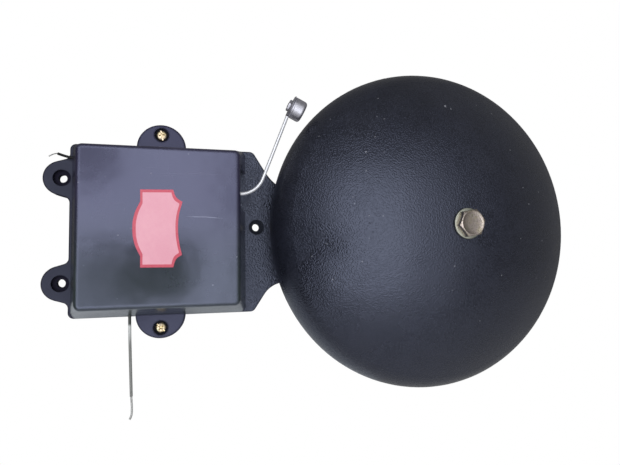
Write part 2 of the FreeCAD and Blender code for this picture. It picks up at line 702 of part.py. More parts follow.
core = Piece("magnet_core")
core.pad(core.outline((("core_left", "core_low_z"), (WORKING_POLE_X, "core_low_z"),
                       (WORKING_POLE_X, WINDOW_LOW), (YOKE_RIGHT, WINDOW_LOW), (YOKE_RIGHT, WINDOW_TOP),
                       (POLE_X, WINDOW_TOP), (POLE_X, "core_top_z"), ("core_left", "core_top_z")), CORE_REAR),
         "stack_thick")
for x in ("core_bolt_left_x", "core_bolt_right_x"):
    for z in (UPPER_ARM_Z, LOWER_ARM_Z):
        core.pocket(core.circle(x, z, "core_bolt_radius + screw_clearance", CORE_FRONT), "stack_thick")

def round_the_limb(name, grow, low, top):
    """A block round the yoke that stands out on every side of it."""
    return block(name, "core_left - (%s)" % grow, "%s + (%s)" % (YOKE_RIGHT, grow),
                 "%s - (%s)" % (CORE_REAR, grow), "%s + (%s)" % (CORE_FRONT, grow), low, top)

FIT = "running_clearance"
LOW_END = WINDOW_LOW + " + cheek_clearance"
TOP_END = WINDOW_TOP + " - cheek_clearance"
WOUND = "bobbin_wall + winding_thick"
cut("coil_bobbin",
    fuse("bobbin_blank", round_the_limb("bobbin_tube", "bobbin_wall", LOW_END, TOP_END),
         round_the_limb("bobbin_low_flange", WOUND, LOW_END, LOW_END + " + bobbin_flange"),
         round_the_limb("bobbin_top_flange", WOUND, TOP_END + " - bobbin_flange", TOP_END)),
    round_the_limb("bobbin_bore", FIT, LOW_END, TOP_END))

winding = Piece("coil_winding", "XY_Plane")
LAID = "bobbin_wall + winding_thick - winding_gap"
winding_sketch = winding.box("core_left - (%s)" % LAID, "%s + %s" % (YOKE_RIGHT, LAID),
                             "-(%s + %s)" % (CORE_FRONT, LAID), "-(%s - (%s))" % (CORE_REAR, LAID),
                             LOW_END + " + bobbin_flange")
winding.pad(winding_sketch, "%s - bobbin_flange - (%s + bobbin_flange)" % (TOP_END, LOW_END))
winding.fillet("winding_round", lambda edge: abs(edge.Vertexes[0].Z - edge.Vertexes[-1].Z) > 1)
winding_bore = winding.box("core_left - bobbin_wall - running_clearance",
                           YOKE_RIGHT + " + bobbin_wall + running_clearance",
                           "-(%s + bobbin_wall + running_clearance)" % CORE_FRONT,
                           "-(%s - bobbin_wall - running_clearance)" % CORE_REAR,
                           LOW_END + " + bobbin_flange")
winding.pocket(winding_bore, "%s - bobbin_flange - (%s + bobbin_flange)" % (TOP_END, LOW_END), outwards=True)

# ---------------------------------------------------------------- cheeks

# Two plates clamp the upper limb between them and reach past it to carry the pivot; their lobes
# carry the back stop and the post of the spring.
for name, near in (("rear_cheek", REAR_CHEEK), ("front_cheek", CORE_FRONT)):
    cheek = Piece(name)
    cheek.pad(cheek.box("core_left", "pivot_x + cheek_nose", WINDOW_TOP, "core_top_z", near), "cheek_thick")
    cheek.pad(cheek.box("cheek_lobe_left", "cheek_lobe_right", UPPER_ARM_Z, "cheek_lobe_top", near),
              "cheek_thick")
    nose_x, nose_top = size("pivot_x") + size("cheek_nose"), size("core_top_z")
    lobe_top = size("cheek_lobe_top")
    cheek.fillet("cheek_round", upright_at((size("cheek_lobe_left"), lobe_top),
                                           (size("cheek_lobe_right"), lobe_top),
                                           (nose_x, nose_top), (nose_x, nose_top - size("limb"))))
    far = near + " + cheek_thick"
    for x, z, radius in (("core_bolt_left_x", UPPER_ARM_Z, "core_bolt_radius"),
                         ("core_bolt_right_x", UPPER_ARM_Z, "core_bolt_radius"),
                         ("pivot_x", UPPER_ARM_Z, "pin_radius"),
                         ("(stop_bar_left + stop_bar_right) / 2", "bar_screw_z", "bar_screw_radius"),
                         ("spring_post_x", "spring_z", "spring_post_radius")):
        cheek.pocket(cheek.circle(x, z, radius + " + screw_clearance", far), "cheek_thick")

bolts = []
for row, (z, seat) in enumerate(((UPPER_ARM_Z, CORE_FRONT + " + cheek_thick"), (LOWER_ARM_Z, CORE_FRONT))):
    for column, x in enumerate(("core_bolt_left_x", "core_bolt_right_x")):
        tag = "%d_%d" % (row, column)
        head = cylinder("core_bolt_head_" + tag, "core_bolt_head_radius", "core_bolt_head", x, seat, z)
        shank = cylinder("core_bolt_shank_" + tag, "core_bolt_radius", "%s - core_bolt_end" % seat, x,
                         "core_bolt_end", z)
        bolts.append(fuse("core_bolt_" + tag, head, shank))
group("core_bolts", *bolts)

# ---------------------------------------------------------------- armature and pivot

ARMATURE_NEAR = CORE_REAR + " + cheek_clearance"
ARMATURE_WIDTH = "stack_thick - 2 * cheek_clearance"
ARMATURE_RIGHT = "armature_left + armature_thick"

ROD_DEPTH = "(stack_depth + rod_offset)"

bar = Piece("armature_bar")
bar.pad(bar.box("armature_left", ARMATURE_RIGHT, "core_low_z", "armature_top_z", ARMATURE_NEAR),
        ARMATURE_WIDTH)
bar.pad(bar.circle("pivot_x", UPPER_ARM_Z, "pin_radius + hub_wall", ARMATURE_NEAR), ARMATURE_WIDTH)
bar.pocket(bar.circle("pivot_x", UPPER_ARM_Z, "pin_radius + running_clearance", CORE_FRONT), "stack_thick")
cut("armature", bar.body, cylinder("rod_hole", "rod_radius + screw_clearance", "2 * armature_thick",
                                   "armature_left - armature_thick / 2", ROD_DEPTH, "rod_z", RIGHT))

PIVOT = ("pivot_x", UPPER_ARM_Z)
pin_front = CORE_FRONT + " + cheek_thick"
pin_rear = REAR_CHEEK + " - clip_thick - pin_past_clip"
fuse("pivot_pin",
     cylinder("pin_shaft", "pin_radius", "%s - (%s)" % (pin_front, pin_rear), PIVOT[0], pin_rear, PIVOT[1]),
     cylinder("pin_button", "pin_radius + pin_head_step", "pin_head", PIVOT[0], pin_front, PIVOT[1]))
clip_near = REAR_CHEEK + " - clip_thick"
CLIP_RADIUS = "(pin_radius + clip_ring)"
cut("pin_clip", cylinder("clip_disc", CLIP_RADIUS, "clip_thick", PIVOT[0], clip_near, PIVOT[1]),
    cylinder("clip_hole", "pin_radius + screw_clearance", "clip_thick", PIVOT[0], clip_near, PIVOT[1]),
    block("clip_mouth", "pivot_x", "pivot_x + 2 * " + CLIP_RADIUS, clip_near, clip_near + " + clip_thick",
          UPPER_ARM_Z + " - pin_radius / 2", UPPER_ARM_Z + " + pin_radius / 2"))

# ---------------------------------------------------------------- back stop and return spring

BAR_MIDDLE = "(stop_bar_left + stop_bar_right) / 2"
bar_holes = [cylinder("stop_screw_hole", "stop_screw_radius + screw_clearance",
                      "stop_bar_right - stop_bar_left", "stop_bar_left", "stack_depth", "stop_z", RIGHT)]
bar_screws = []
for tag, seat, head_near, shank_near in (
        ("rear", REAR_CHEEK, REAR_CHEEK + " - bar_screw_head", REAR_CHEEK),
        ("front", pin_front, pin_front, pin_front + " - bar_screw_length")):
    head = cylinder("bar_screw_head_" + tag, "bar_screw_head_radius", "bar_screw_head", BAR_MIDDLE, head_near,
                    "bar_screw_z")
    shank = cylinder("bar_screw_shank_" + tag, "bar_screw_radius", "bar_screw_length", BAR_MIDDLE, shank_near,
                     "bar_screw_z")
    bar_screws.append(fuse("bar_screw_" + tag, head, shank))
    bar_holes.append(cylinder("bar_screw_hole_" + tag, "bar_screw_radius + screw_clearance",
                              "bar_screw_length", BAR_MIDDLE, shank_near, "bar_screw_z"))
group("stop_bar_screws", *bar_screws)
cut("stop_bar", block("stop_bar_blank", "stop_bar_left", "stop_bar_right", CORE_REAR, CORE_FRONT,
                      "stop_bar_low_z", "cheek_lobe_top"), *bar_holes)

buffer_right = "armature_left - buffer_gap"
buffer_left = buffer_right + " - buffer_length"
cylinder("stop_screw", "stop_screw_radius", "%s - stop_screw_left" % buffer_left, "stop_screw_left",
         "stack_depth", "stop_z", RIGHT)
cylinder("stop_buffer", "buffer_radius", "buffer_length", buffer_left, "stack_depth", "stop_z", RIGHT)
nut_at = ("stop_bar_left - stop_nut", "stack_depth", "stop_z", RIGHT)
cut("stop_nut", hexagon("stop_nut_blank", "stop_nut_flats", "stop_nut", *nut_at),
    cylinder("stop_nut_hole", "stop_screw_radius + screw_clearance", "stop_nut", *nut_at))

cylinder("spring_post", "spring_post_radius", "stack_thick + 2 * cheek_thick", "spring_post_x", REAR_CHEEK,
         "spring_z")

# the tension spring: its closed coils, turned as one ribbed body, and a straight wire at each end
coil_turns = int(size("spring_turns"))
coil = []
for number in range(coil_turns):
    ring = doc.addObject("Part::Cone", "spring_turn_%02d" % number)
    bind(ring, Radius1="spring_radius - spring_wire * (%d)" % (number % 2),
         Radius2="spring_radius - spring_wire * (%d)" % ((number + 1) % 2),
         Height="(spring_coil_right - spring_coil_left) / %d" % coil_turns)
    coil.append(place(ring, "spring_coil_left + %d * (spring_coil_right - spring_coil_left) / %d"
                      % (number, coil_turns), "stack_depth", "spring_z", RIGHT))
hook_left = "spring_post_x + spring_post_radius"
wires = [cylinder(name, "spring_wire / 2", "%s - (%s)" % (right, left), left, "stack_depth", "spring_z",
                  RIGHT)
         for name, left, right in (("spring_left_wire", hook_left, "spring_coil_left"),
                                   ("spring_right_wire", "spring_coil_right", "armature_left"))]
fuse("return_spring", *coil, *wires)

# ---------------------------------------------------------------- hammer

BEND_END_Z = "rod_z + rod_bend_radius * (1 - cos(rod_bend_angle))"
HEAD_Z = BEND_END_Z + " + rod_reach * sin(rod_bend_angle) + hammer_washer_radius * cos(head_tilt)"

# the lower edge of the striking face stands the strike gap away from the gong, and the bend of the
# rod starts as far to the left of that edge as the rest of the hammer reaches
STRIKE_Z = "(%s - head_length * sin(head_tilt) - head_radius * cos(head_tilt))" % HEAD_Z
GONG_AT_STRIKE = "(%s - sqrt(gong_radius ^ 2 - (%s - gong_centre_z) ^ 2))" % (GONG_X, STRIKE_Z)
HAMMER_REACH = ("(rod_bend_radius * sin(rod_bend_angle) + rod_reach * cos(rod_bend_angle)"
                " + hammer_washer_radius * sin(head_tilt) + head_length * cos(head_tilt)"
                " - head_radius * sin(head_tilt))")
ROD_BEND_X = "(%s - strike_gap - %s)" % (GONG_AT_STRIKE, HAMMER_REACH)
BEND_END_X = ROD_BEND_X + " + rod_bend_radius * sin(rod_bend_angle)"
HEAD_X = BEND_END_X + " + rod_reach * cos(rod_bend_angle) + hammer_washer_radius * sin(head_tilt)"
ROD_TAIL_X = "armature_left - rod_tail"

def along_head(thing, offset):
    """Puts a round object on the hammer head's axis, an offset beyond the face of the washer."""
    place(thing, "%s + (%s) * cos(head_tilt)" % (HEAD_X, offset), ROD_DEPTH,
          "%s - (%s) * sin(head_tilt)" % (HEAD_Z, offset), Rotation(Vector(0, 1, 0), 1))
    thing.setExpression("Placement.Rotation.Angle", formula("90 + head_tilt"))
    return thing

def head_cylinder(name, radius, length, offset):
    thing = doc.addObject("Part::Cylinder", name)
    bind(thing, Radius=radius, Height=length)
    return along_head(thing, offset)

bend = doc.addObject("Part::Torus", "rod_bend")
bind(bend, Radius1="rod_bend_radius", Radius2="rod_radius", Angle3="rod_bend_angle")
place(bend, ROD_BEND_X, ROD_DEPTH, "rod_z + rod_bend_radius",
      Rotation(Vector(0, 0, -1), Vector(1, 0, 0), Vector(0, -1, 0)))
reach = cylinder("rod_straight", "rod_radius", "rod_reach + hammer_washer", BEND_END_X, ROD_DEPTH,
                 BEND_END_Z, RIGHT)
reach.setExpression("Placement.Rotation.Angle", formula("90 - rod_bend_angle"))
cut("hammer_rod",
    fuse("rod_blank", cylinder("rod_start", "rod_radius", "%s - (%s)" % (ROD_BEND_X, ROD_TAIL_X), ROD_TAIL_X,
                               ROD_DEPTH, "rod_z", RIGHT), bend, reach),
    head_cylinder("rod_end_shape", "hammer_washer_radius", "4 * hammer_washer", "-2.5 * hammer_washer"))

cut("hammer_washer",
    head_cylinder("hammer_washer_disc", "hammer_washer_radius", "hammer_washer", "-hammer_washer"),
    head_cylinder("hammer_washer_hole", "stud_radius + screw_clearance", "hammer_washer", "-hammer_washer"))

head = Piece("hammer_head", "XZ_Plane")
head_sketch = head.outline((("0", "-stud_length"), ("stud_radius", "-stud_length"), ("stud_radius", "0"),
                            ("head_radius", "0"), ("head_radius", "head_length"), ("0", "head_length")))
head_turn = head.feature("PartDesign::Revolution")
head_turn.Profile = head_sketch
head_turn.ReferenceAxis = (head_sketch, ["V_Axis"])
head_turn.Angle = 360
head.fillet("head_round", lambda edge: all(v.Z > size("head_length") - 1e-3 for v in edge.Vertexes)
            and abs(edge.Length - 2 * math.pi * size("head_radius")) < 1)
along_head(head.body, "0")

nut_blank = doc.addObject("Part::Prism", "hammer_nut_blank")
nut_blank.Polygon = 6
bind(nut_blank, Circumradius="hammer_nut_flats / 2 / cos(30)", Height="hammer_nut")
along_head(nut_blank, "-hammer_washer - hammer_nut")
cut("hammer_nut", nut_blank, head_cylinder("hammer_nut_hole", "stud_radius + screw_clearance", "hammer_nut",
                                           "-hammer_washer - hammer_nut"))

nuts = []
for number, x in enumerate(("armature_left - rod_nut", ARMATURE_RIGHT)):
    at = (x, ROD_DEPTH, "rod_z", RIGHT)
    nuts.append(cut("rod_nut_%d" % number,
                    hexagon("rod_nut_blank_%d" % number, "rod_nut_flats", "rod_nut", *at),
                    cylinder("rod_nut_hole_%d" % number, "rod_radius + screw_clearance", "rod_nut", *at)))
group("rod_nuts", *nuts)

# ---------------------------------------------------------------- terminals

blocks, barrels, clamps = [], [], []
for tag, x, z, direction in (("upper", UPPER_TERMINAL_X, UPPER_TERMINAL_Z, RIGHT),
                             ("lower", LOWER_TERMINAL_X, LOWER_TERMINAL_Z, UP)):
    flat = direction is RIGHT
    half = ("terminal_block_length / 2", "terminal_block_width / 2")
    wide, tall = half if flat else half[::-1]
    blocks.append(block(tag + "_block", "%s - %s" % (x, wide), "%s + %s" % (x, wide), "base_thick",
                        "base_thick + terminal_block", "%s - %s" % (z, tall), "%s + %s" % (z, tall)))
    start = (x + " - barrel_length / 2", z) if flat else (x, z + " - barrel_length / 2")
    barrel, bore = [cylinder(tag + name, radius, "barrel_length", start[0], BARREL_DEPTH, start[1], direction)
                    for name, radius in (("_barrel_blank", "barrel_radius"), ("_barrel_bore", "barrel_bore"))]
    screw_near = BARREL_DEPTH + " + lower_lead_radius + clamp_gap"
    holes = [bore]
    for number, side in enumerate("+-"):
        shift = "%s barrel_length / 4" % side
        at = (x + shift, z) if flat else (x, z + shift)
        clamps.append(cylinder("%s_clamp_%d" % (tag, number), "terminal_screw_radius",
                               "terminal_screw_length", at[0], screw_near, at[1]))
        holes.append(cylinder("%s_clamp_hole_%d" % (tag, number), "terminal_screw_radius + screw_clearance",
                              "terminal_screw_length", at[0], screw_near, at[1]))
    barrels.append(cut(tag + "_barrel", barrel, *holes))
group("terminal_blocks", *blocks)
group("terminal_barrels", *barrels)
group("terminal_screws", *clamps)

# ---------------------------------------------------------------- leads

def point_at(x, depth, z):
    """The point that three expressions in the names of the sheet come to."""
    probe = place(doc.addObject("Part::Feature", "probe"), x, depth, z, UP)
    doc.recompute()
    point = Vector(probe.Placement.Base)
    doc.removeObject(probe.Name)
    return point

def steps_from(point, steps):
    """The points that lie so many steps (x, y, z) from one point."""
    return [point + Vector(*step) for step in steps]

def tube(name, route, radius):
    """A round lead along a route: straight runs joined by tangent arcs, each as large as its runs allow."""
    edges, radii = [], []
    at = route[0]
    for before, corner, after in zip(route, route[1:], route[2:]):
        back, ahead = (before - corner).normalize(), (after - corner).normalize()
        half_turn = (math.pi - back.getAngle(ahead)) / 2
        run = 0.45 * min((before - corner).Length, (after - corner).Length)
        radii.append(run / math.tan(half_turn))
        first, last = corner + back * run, corner + ahead * run
        to_middle = (back + ahead).normalize()
        middle = corner + to_middle * (radii[-1] / math.cos(half_turn) - radii[-1])
        edges.append(Part.LineSegment(at, first).toShape())
        edges.append(Part.Arc(first, middle, last).toShape())
        at = last
    edges.append(Part.LineSegment(at, route[-1]).toShape())
    path = Part.Wire(edges)
    ring = Part.Wire(Part.Circle(route[0], route[1] - route[0], size(radius)).toShape())
    thing = doc.addObject("Part::Feature", name)
    thing.Shape = path.makePipeShell([ring], True, False)
    expected = math.pi * size(radius) ** 2 * path.Length
    print("%-16s length %6.1f  radii %s  volume against section x length %.4f"
          % (name, path.Length, " ".join("%.1f" % r for r in radii), thing.Shape.Volume / expected))
    return thing

upper_terminal = point_at(UPPER_TERMINAL_X, BARREL_DEPTH, UPPER_TERMINAL_Z)
lower_terminal = point_at(LOWER_TERMINAL_X, BARREL_DEPTH, LOWER_TERMINAL_Z)
coil_top, coil_low = [point_at("core_left - (%s)" % WOUND, "stack_depth", end) for end in (TOP_END, LOW_END)]
tube("upper_lead", steps_from(upper_terminal, UPPER_LEAD), "upper_lead_radius")
tube("upper_lead_tip", steps_from(upper_terminal, UPPER_TIP), "upper_core_radius")
tube("lower_lead", steps_from(lower_terminal, LOWER_LEAD), "lower_lead_radius")
tube("lower_lead_tip", steps_from(lower_terminal, LOWER_TIP), "lower_core_radius")
tube("coil_lead_upper", steps_from(coil_top, COIL_LEAD_UPPER_START)
     + steps_from(upper_terminal, COIL_LEAD_UPPER_END), "coil_lead_radius")
tube("coil_lead_lower", steps_from(coil_low, COIL_LEAD_LOWER_START)
     + steps_from(lower_terminal, COIL_LEAD_LOWER_END), "coil_lead_radius")

# ---------------------------------------------------------------- check and write

NODES = ("base_casting", "cover", "cover_screws", "gong", "gong_washer", "gong_bolt", "fibre_washer",
         "gong_post", "post_nut", "magnet_core", "core_bolts", "coil_bobbin", "coil_winding",
         "rear_cheek", "front_cheek", "pivot_pin", "pin_clip", "armature", "stop_bar",
         "stop_bar_screws", "stop_screw", "stop_nut", "stop_buffer", "spring_post", "return_spring",
         "hammer_rod", "rod_nuts", "hammer_washer", "hammer_head", "hammer_nut", "terminal_blocks",
         "terminal_barrels", "terminal_screws", "coil_lead_upper", "coil_lead_lower", "upper_lead",
         "upper_lead_tip", "lower_lead", "lower_lead_tip")

doc.recompute()
failed = [thing.Label for thing in doc.Objects if {"Invalid", "Error"} & set(thing.State)]
os.makedirs("parts", exist_ok=True)
for label in NODES:
    shape = doc.getObjectsByLabel(label)[0].Shape
    if shape.isNull() or not shape.isValid() or not shape.Solids:
        failed.append(label)
if failed:
    raise RuntimeError("these did not build: " + ", ".join(failed))
for label in NODES:
    shape = doc.getObjectsByLabel(label)[0].Shape
    shape.exportStep("parts/%s.step" % label)
    box = shape.BoundBox
    print("%-16s %d solids %9.0f mm3  x %7.1f %7.1f  y %7.1f %6.1f  z %7.1f %6.1f"
          % (label, len(shape.Solids), shape.Volume, box.XMin, box.XMax, box.YMin, box.YMax, box.ZMin,
             box.ZMax))
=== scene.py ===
# %% [markdown]
# # A wall bell with an outside gong
# This is a mains signal bell of the kind that hangs in corridors and workshops. A cast base plate
# carries a closed case on the left and a domed steel gong on the right. Inside the case an
# electromagnet pulls an armature, and the bent rod on it throws a small hammer at the gong.
# The solids come from the CAD model, so this script only gives them their finish, and models
# again the few pieces that need finer shapes than the solids have.

# %% Load the frame
import math

import bmesh
import bpy
from mathutils import Matrix, Vector


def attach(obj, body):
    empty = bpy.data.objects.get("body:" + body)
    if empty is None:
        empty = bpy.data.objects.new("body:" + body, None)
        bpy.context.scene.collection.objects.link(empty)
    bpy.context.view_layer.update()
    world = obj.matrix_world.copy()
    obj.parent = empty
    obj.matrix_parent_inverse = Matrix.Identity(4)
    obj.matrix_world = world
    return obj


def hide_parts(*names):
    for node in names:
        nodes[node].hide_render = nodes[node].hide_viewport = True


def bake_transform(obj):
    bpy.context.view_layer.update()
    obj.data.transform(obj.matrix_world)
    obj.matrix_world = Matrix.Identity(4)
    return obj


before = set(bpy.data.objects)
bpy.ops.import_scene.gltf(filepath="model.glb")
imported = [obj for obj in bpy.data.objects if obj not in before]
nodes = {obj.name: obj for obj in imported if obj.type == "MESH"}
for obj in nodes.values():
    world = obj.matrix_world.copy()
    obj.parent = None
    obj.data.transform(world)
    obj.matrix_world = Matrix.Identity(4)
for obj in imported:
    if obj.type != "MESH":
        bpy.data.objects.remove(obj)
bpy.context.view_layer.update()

MM = 0.001
print("loaded", len(nodes), "solids")

# %% [markdown]
# ## Camera
# A camera looks along its own minus z axis. Its three axes are worked out from the yaw, the pitch
# and the roll, and they become the columns of its matrix, so no constraint or target is needed.

# %% Place the camera
CAMERA_PLACE = Vector((-63.1, -444.3, -29.9)) * MM
CAMERA_YAW = math.radians(14.84)
CAMERA_PITCH = math.radians(3.19)
CAMERA_ROLL = math.radians(-0.73)
CAMERA_LENS = 27.0


def looking(yaw, pitch, roll):
    """The turn of a camera that looks along +Y, then yaws to the right, pitches up and rolls."""
    ahead = Vector((math.sin(yaw) * math.cos(pitch), math.cos(yaw) * math.cos(pitch), math.sin(pitch)))
    right = Vector((math.cos(yaw), -math.sin(yaw), 0))
    up = right.cross(ahead)
    rolled_right = math.cos(roll) * right + math.sin(roll) * up
    rolled_up = math.cos(roll) * up - math.sin(roll) * right
    return Matrix((rolled_right, rolled_up, -ahead)).transposed().to_4x4()


def add_object(name, data):
    """A new object with this data, linked into the scene."""
    thing = bpy.data.objects.new(name, data)
    bpy.context.collection.objects.link(thing)
    return thing


camera_data = bpy.data.cameras.new("camera")
camera_data.lens = CAMERA_LENS
camera_data.clip_start = 0.01
camera = add_object("camera", camera_data)
camera.matrix_world = Matrix.Translation(CAMERA_PLACE) @ looking(CAMERA_YAW, CAMERA_PITCH, CAMERA_ROLL)
bpy.context.scene.camera = camera
bpy.context.scene.view_settings.view_transform = "Standard"
print("camera at", [round(v, 4) for v in camera.location])

# %% [markdown]
# ## Leads
# Two leads come out of the case: a short black one on the left and a longer one in a grey sleeve
# at the foot, each with its bare core showing at the end. A lead has no corners, so each is one
# smooth NURBS line of order 3 through a short list of points, with a round section of its own
# radius. The order is set after the points, because before them it would stay at 2. A curve's box
# adds each point's own radius, so that radius is the lead's, and the bevel depth is one metre.

# %% Lay the leads
UPPER_LEAD = ((-137.5, -16.0, 57.5), (-149.0, -16.0, 57.5), (-160.6, -13.0, 58.4),
              (-169.3, -12.0, 61.8))
UPPER_TIP = ((-169.6, -12.0, 61.9), (-172.9, -11.8, 61.7), (-176.3, -11.6, 59.2))
LOWER_LEAD = ((-110.5, -16.0, -65.5), (-110.5, -16.0, -76.0), (-110.4, -14.4, -95.0),
              (-109.9, -11.4, -121.0), (-109.2, -10.6, -146.4))
LOWER_TIP = ((-109.2, -10.6, -146.7), (-108.8, -10.5, -152.8), (-108.6, -10.4, -159.6),
             (-109.0, -10.4, -163.6), (-110.4, -10.3, -165.9))
UPPER_RADIUS, UPPER_TIP_RADIUS = 1.1, 0.45
LOWER_RADIUS, LOWER_TIP_RADIUS = 1.25, 0.9
LEAD_SIDES = 6
LEAD_STEPS = 24


def soft_line(name, route, radius):
    """A soft lead through the points of its route, in millimetres, with a round section."""
    curve = bpy.data.curves.new(name, "CURVE")
    curve.dimensions = "3D"
    curve.bevel_depth = 1.0
    curve.bevel_resolution = LEAD_SIDES
    curve.resolution_u = LEAD_STEPS
    curve.use_fill_caps = True
    spline = curve.splines.new("NURBS")
    spline.points.add(len(route) - 1)
    for point, place in zip(spline.points, route):
        point.co = (*(Vector(place) * MM), 1)
        point.radius = radius * MM
    spline.order_u = 3
    spline.use_endpoint_u = True
    return add_object(name, curve)


def length_of(curve_object):
    """The length of a curve's own line, in metres."""
    return sum(spline.calc_length() for spline in curve_object.data.splines)


def stands_for(piece, body, node):
    """Lets a piece ride a body in the place of a solid, which is hidden."""
    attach(piece, body)
    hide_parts(node)


upper_lead = soft_line("black_lead", UPPER_LEAD, UPPER_RADIUS)
upper_tip = soft_line("black_lead_core", UPPER_TIP, UPPER_TIP_RADIUS)
lower_lead = soft_line("sleeved_lead", LOWER_LEAD, LOWER_RADIUS)
lower_tip = soft_line("sleeved_lead_core", LOWER_TIP, LOWER_TIP_RADIUS)
for lead, tip, node, radius, slot_name in (
        (upper_lead, upper_tip, "upper_lead", UPPER_RADIUS, "lead_black"),
        (lower_lead, lower_tip, "lower_lead", LOWER_RADIUS, "lead_sleeve")):
    stands_for(lead, "bell", node)
    stands_for(tip, "bell", node + "_tip")
    print(lead.name, "is", round(length_of(lead) / MM, 1), "mm long")

# %% [markdown]
# ## Modelling by hand, in code
# The small parts that catch the light are modelled again here: the screws, the bolt, the washers,
# the hammer, the spring and the sticker. Each starts as a primitive and is shaped with the same
# operators as at a screen. An operator acts on all that is selected, so `fresh` clears the
# selection first, and `pick` selects faces, edges or corners by where they are.

# %% Helpers for selecting and tidying
MERGE_DISTANCE = 0.002 * MM
SMOOTH_BELOW = 32
TO_FRONT = (0, -1, 0)


def fresh():
    """Object mode with nothing selected."""
    if bpy.context.mode != "OBJECT":
        bpy.ops.object.mode_set(mode="OBJECT")
    bpy.ops.object.select_all(action="DESELECT")


def hold(piece):
    """Makes one piece the selected and active one."""
    fresh()
    bpy.context.view_layer.objects.active = piece
    piece.select_set(True)


def edit(piece):
    """Enters edit mode on one piece, with all of it selected."""
    hold(piece)
    bpy.ops.object.mode_set(mode="EDIT")
    bpy.ops.mesh.select_mode(type="VERT")
    bpy.ops.mesh.select_all(action="SELECT")


def pick(kind, wanted):
    """In edit mode, selects only the faces, edges or corners that are wanted."""
    bpy.ops.mesh.select_mode(type=kind)
    bpy.ops.mesh.select_all(action="DESELECT")
    mesh = bmesh.from_edit_mesh(bpy.context.object.data)
    for item in {"FACE": mesh.faces, "EDGE": mesh.edges, "VERT": mesh.verts}[kind]:
        item.select_set(wanted(item))
    bmesh.update_edit_mesh(bpy.context.object.data)


def smoothed(piece, angle=SMOOTH_BELOW):
    """Merges doubles, turns the faces outwards and smooths all but the sharp edges."""
    edit(piece)
    bpy.ops.mesh.remove_doubles(threshold=MERGE_DISTANCE)
    bpy.ops.mesh.normals_make_consistent(inside=False)
    bpy.ops.object.mode_set(mode="OBJECT")
    bpy.ops.object.shade_smooth_by_angle(angle=math.radians(angle))


def freeze():
    """Leaves the active piece at the origin, unturned and unscaled, with its mesh where it was."""
    bpy.ops.object.transform_apply(location=True, rotation=True, scale=True)


def settle(piece, where, axis, side):
    """Carries a piece modelled along +Z to its place, +Z along the axis and +X to the side."""
    ahead = Vector(axis).normalized()
    across = (Vector(side) - Vector(side).dot(ahead) * ahead).normalized()
    turn = Matrix((across, ahead.cross(across), ahead)).transposed().to_4x4()
    hold(piece)
    piece.matrix_world = Matrix.Translation(Vector(where) * MM) @ turn
    freeze()


# %% [markdown]
# ## Turning and cutting
# Most of these parts come off a lathe. A disc, or for a ring its bare outline, is extruded along
# the axis and scaled at each step, as a lathe tool follows a profile. Hexagons and driver slots
# are then cut with a second shape by a Boolean modifier. Each modifier is applied at once.

# %% Helpers for turned and cut parts
ROUND_SIDES = 96
SOFT_SEGMENTS = 2
SHARP_ABOVE = 38


def turned(name, profile, sides=ROUND_SIDES, hollow=False):
    """A turned piece along +Z through steps of (radius, height) in millimetres.

    The profile of a hollow one closes on itself.
    """
    fresh()
    radius, height = profile[0]
    bpy.ops.mesh.primitive_circle_add(vertices=sides, radius=radius * MM, location=(0, 0, height * MM),
                                      fill_type="NOTHING" if hollow else "NGON")
    piece = bpy.context.object
    piece.name = piece.data.name = name
    freeze()
    edit(piece)
    for wider, higher in profile[1:] + (profile[:1] if hollow else ()):
        bpy.ops.mesh.extrude_region_move(TRANSFORM_OT_translate={"value": (0, 0, (higher - height) * MM)})
        bpy.ops.transform.resize(value=(wider / radius, wider / radius, 1),
                                 center_override=(0, 0, higher * MM))
        radius, height = wider, higher
    smoothed(piece)
    return piece


def hexagon(flats, low, high):
    """A hexagonal bar with a corner towards +X, to cut heads and nuts with."""
    fresh()
    bpy.ops.mesh.primitive_cylinder_add(
        vertices=6, radius=flats / math.sqrt(3) * MM, depth=(high - low) * MM,
        location=(0, 0, (low + high) / 2 * MM), rotation=(0, 0, math.radians(30)))
    return bpy.context.object


def modify(piece, kind, **settings):
    """Gives a piece one modifier with these settings and applies it at once."""
    hold(piece)
    modifier = piece.modifiers.new(kind.lower(), kind)
    for name, value in settings.items():
        setattr(modifier, name, value)
    bpy.ops.object.modifier_apply(modifier=modifier.name)


def cut(piece, tool, operation="DIFFERENCE"):
    """Cuts one piece with a tool by a Boolean, and throws the tool away."""
    modify(piece, "BOOLEAN", operation=operation, solver="EXACT", object=tool)
    bpy.data.objects.remove(tool)


def softened(piece, width):
    """Rounds the sharp edges a little with a Bevel, so that they catch the light."""
    modify(piece, "BEVEL", width=width * MM, segments=SOFT_SEGMENTS, limit_method="ANGLE",
           angle_limit=math.radians(SHARP_ABOVE))
    smoothed(piece)


def report(piece):
    """Prints a piece's size and how many faces it has."""
    size = [round(v / MM, 1) for v in piece.dimensions]
    print(piece.name, size, "mm,", len(piece.data.polygons), "faces")


# %% [markdown]
# ## Cover screws
# Two pan-head screws hold the cover, each sunk in a lug. The head is a turned dome with a cross
# recess and a slot right through it, so that either driver fits. A bump map on a plain disc
# would look flat, because it is the walls of the recess that shine, so they are cut for real.
# One screw is modelled, and its copy has a mesh of its own.

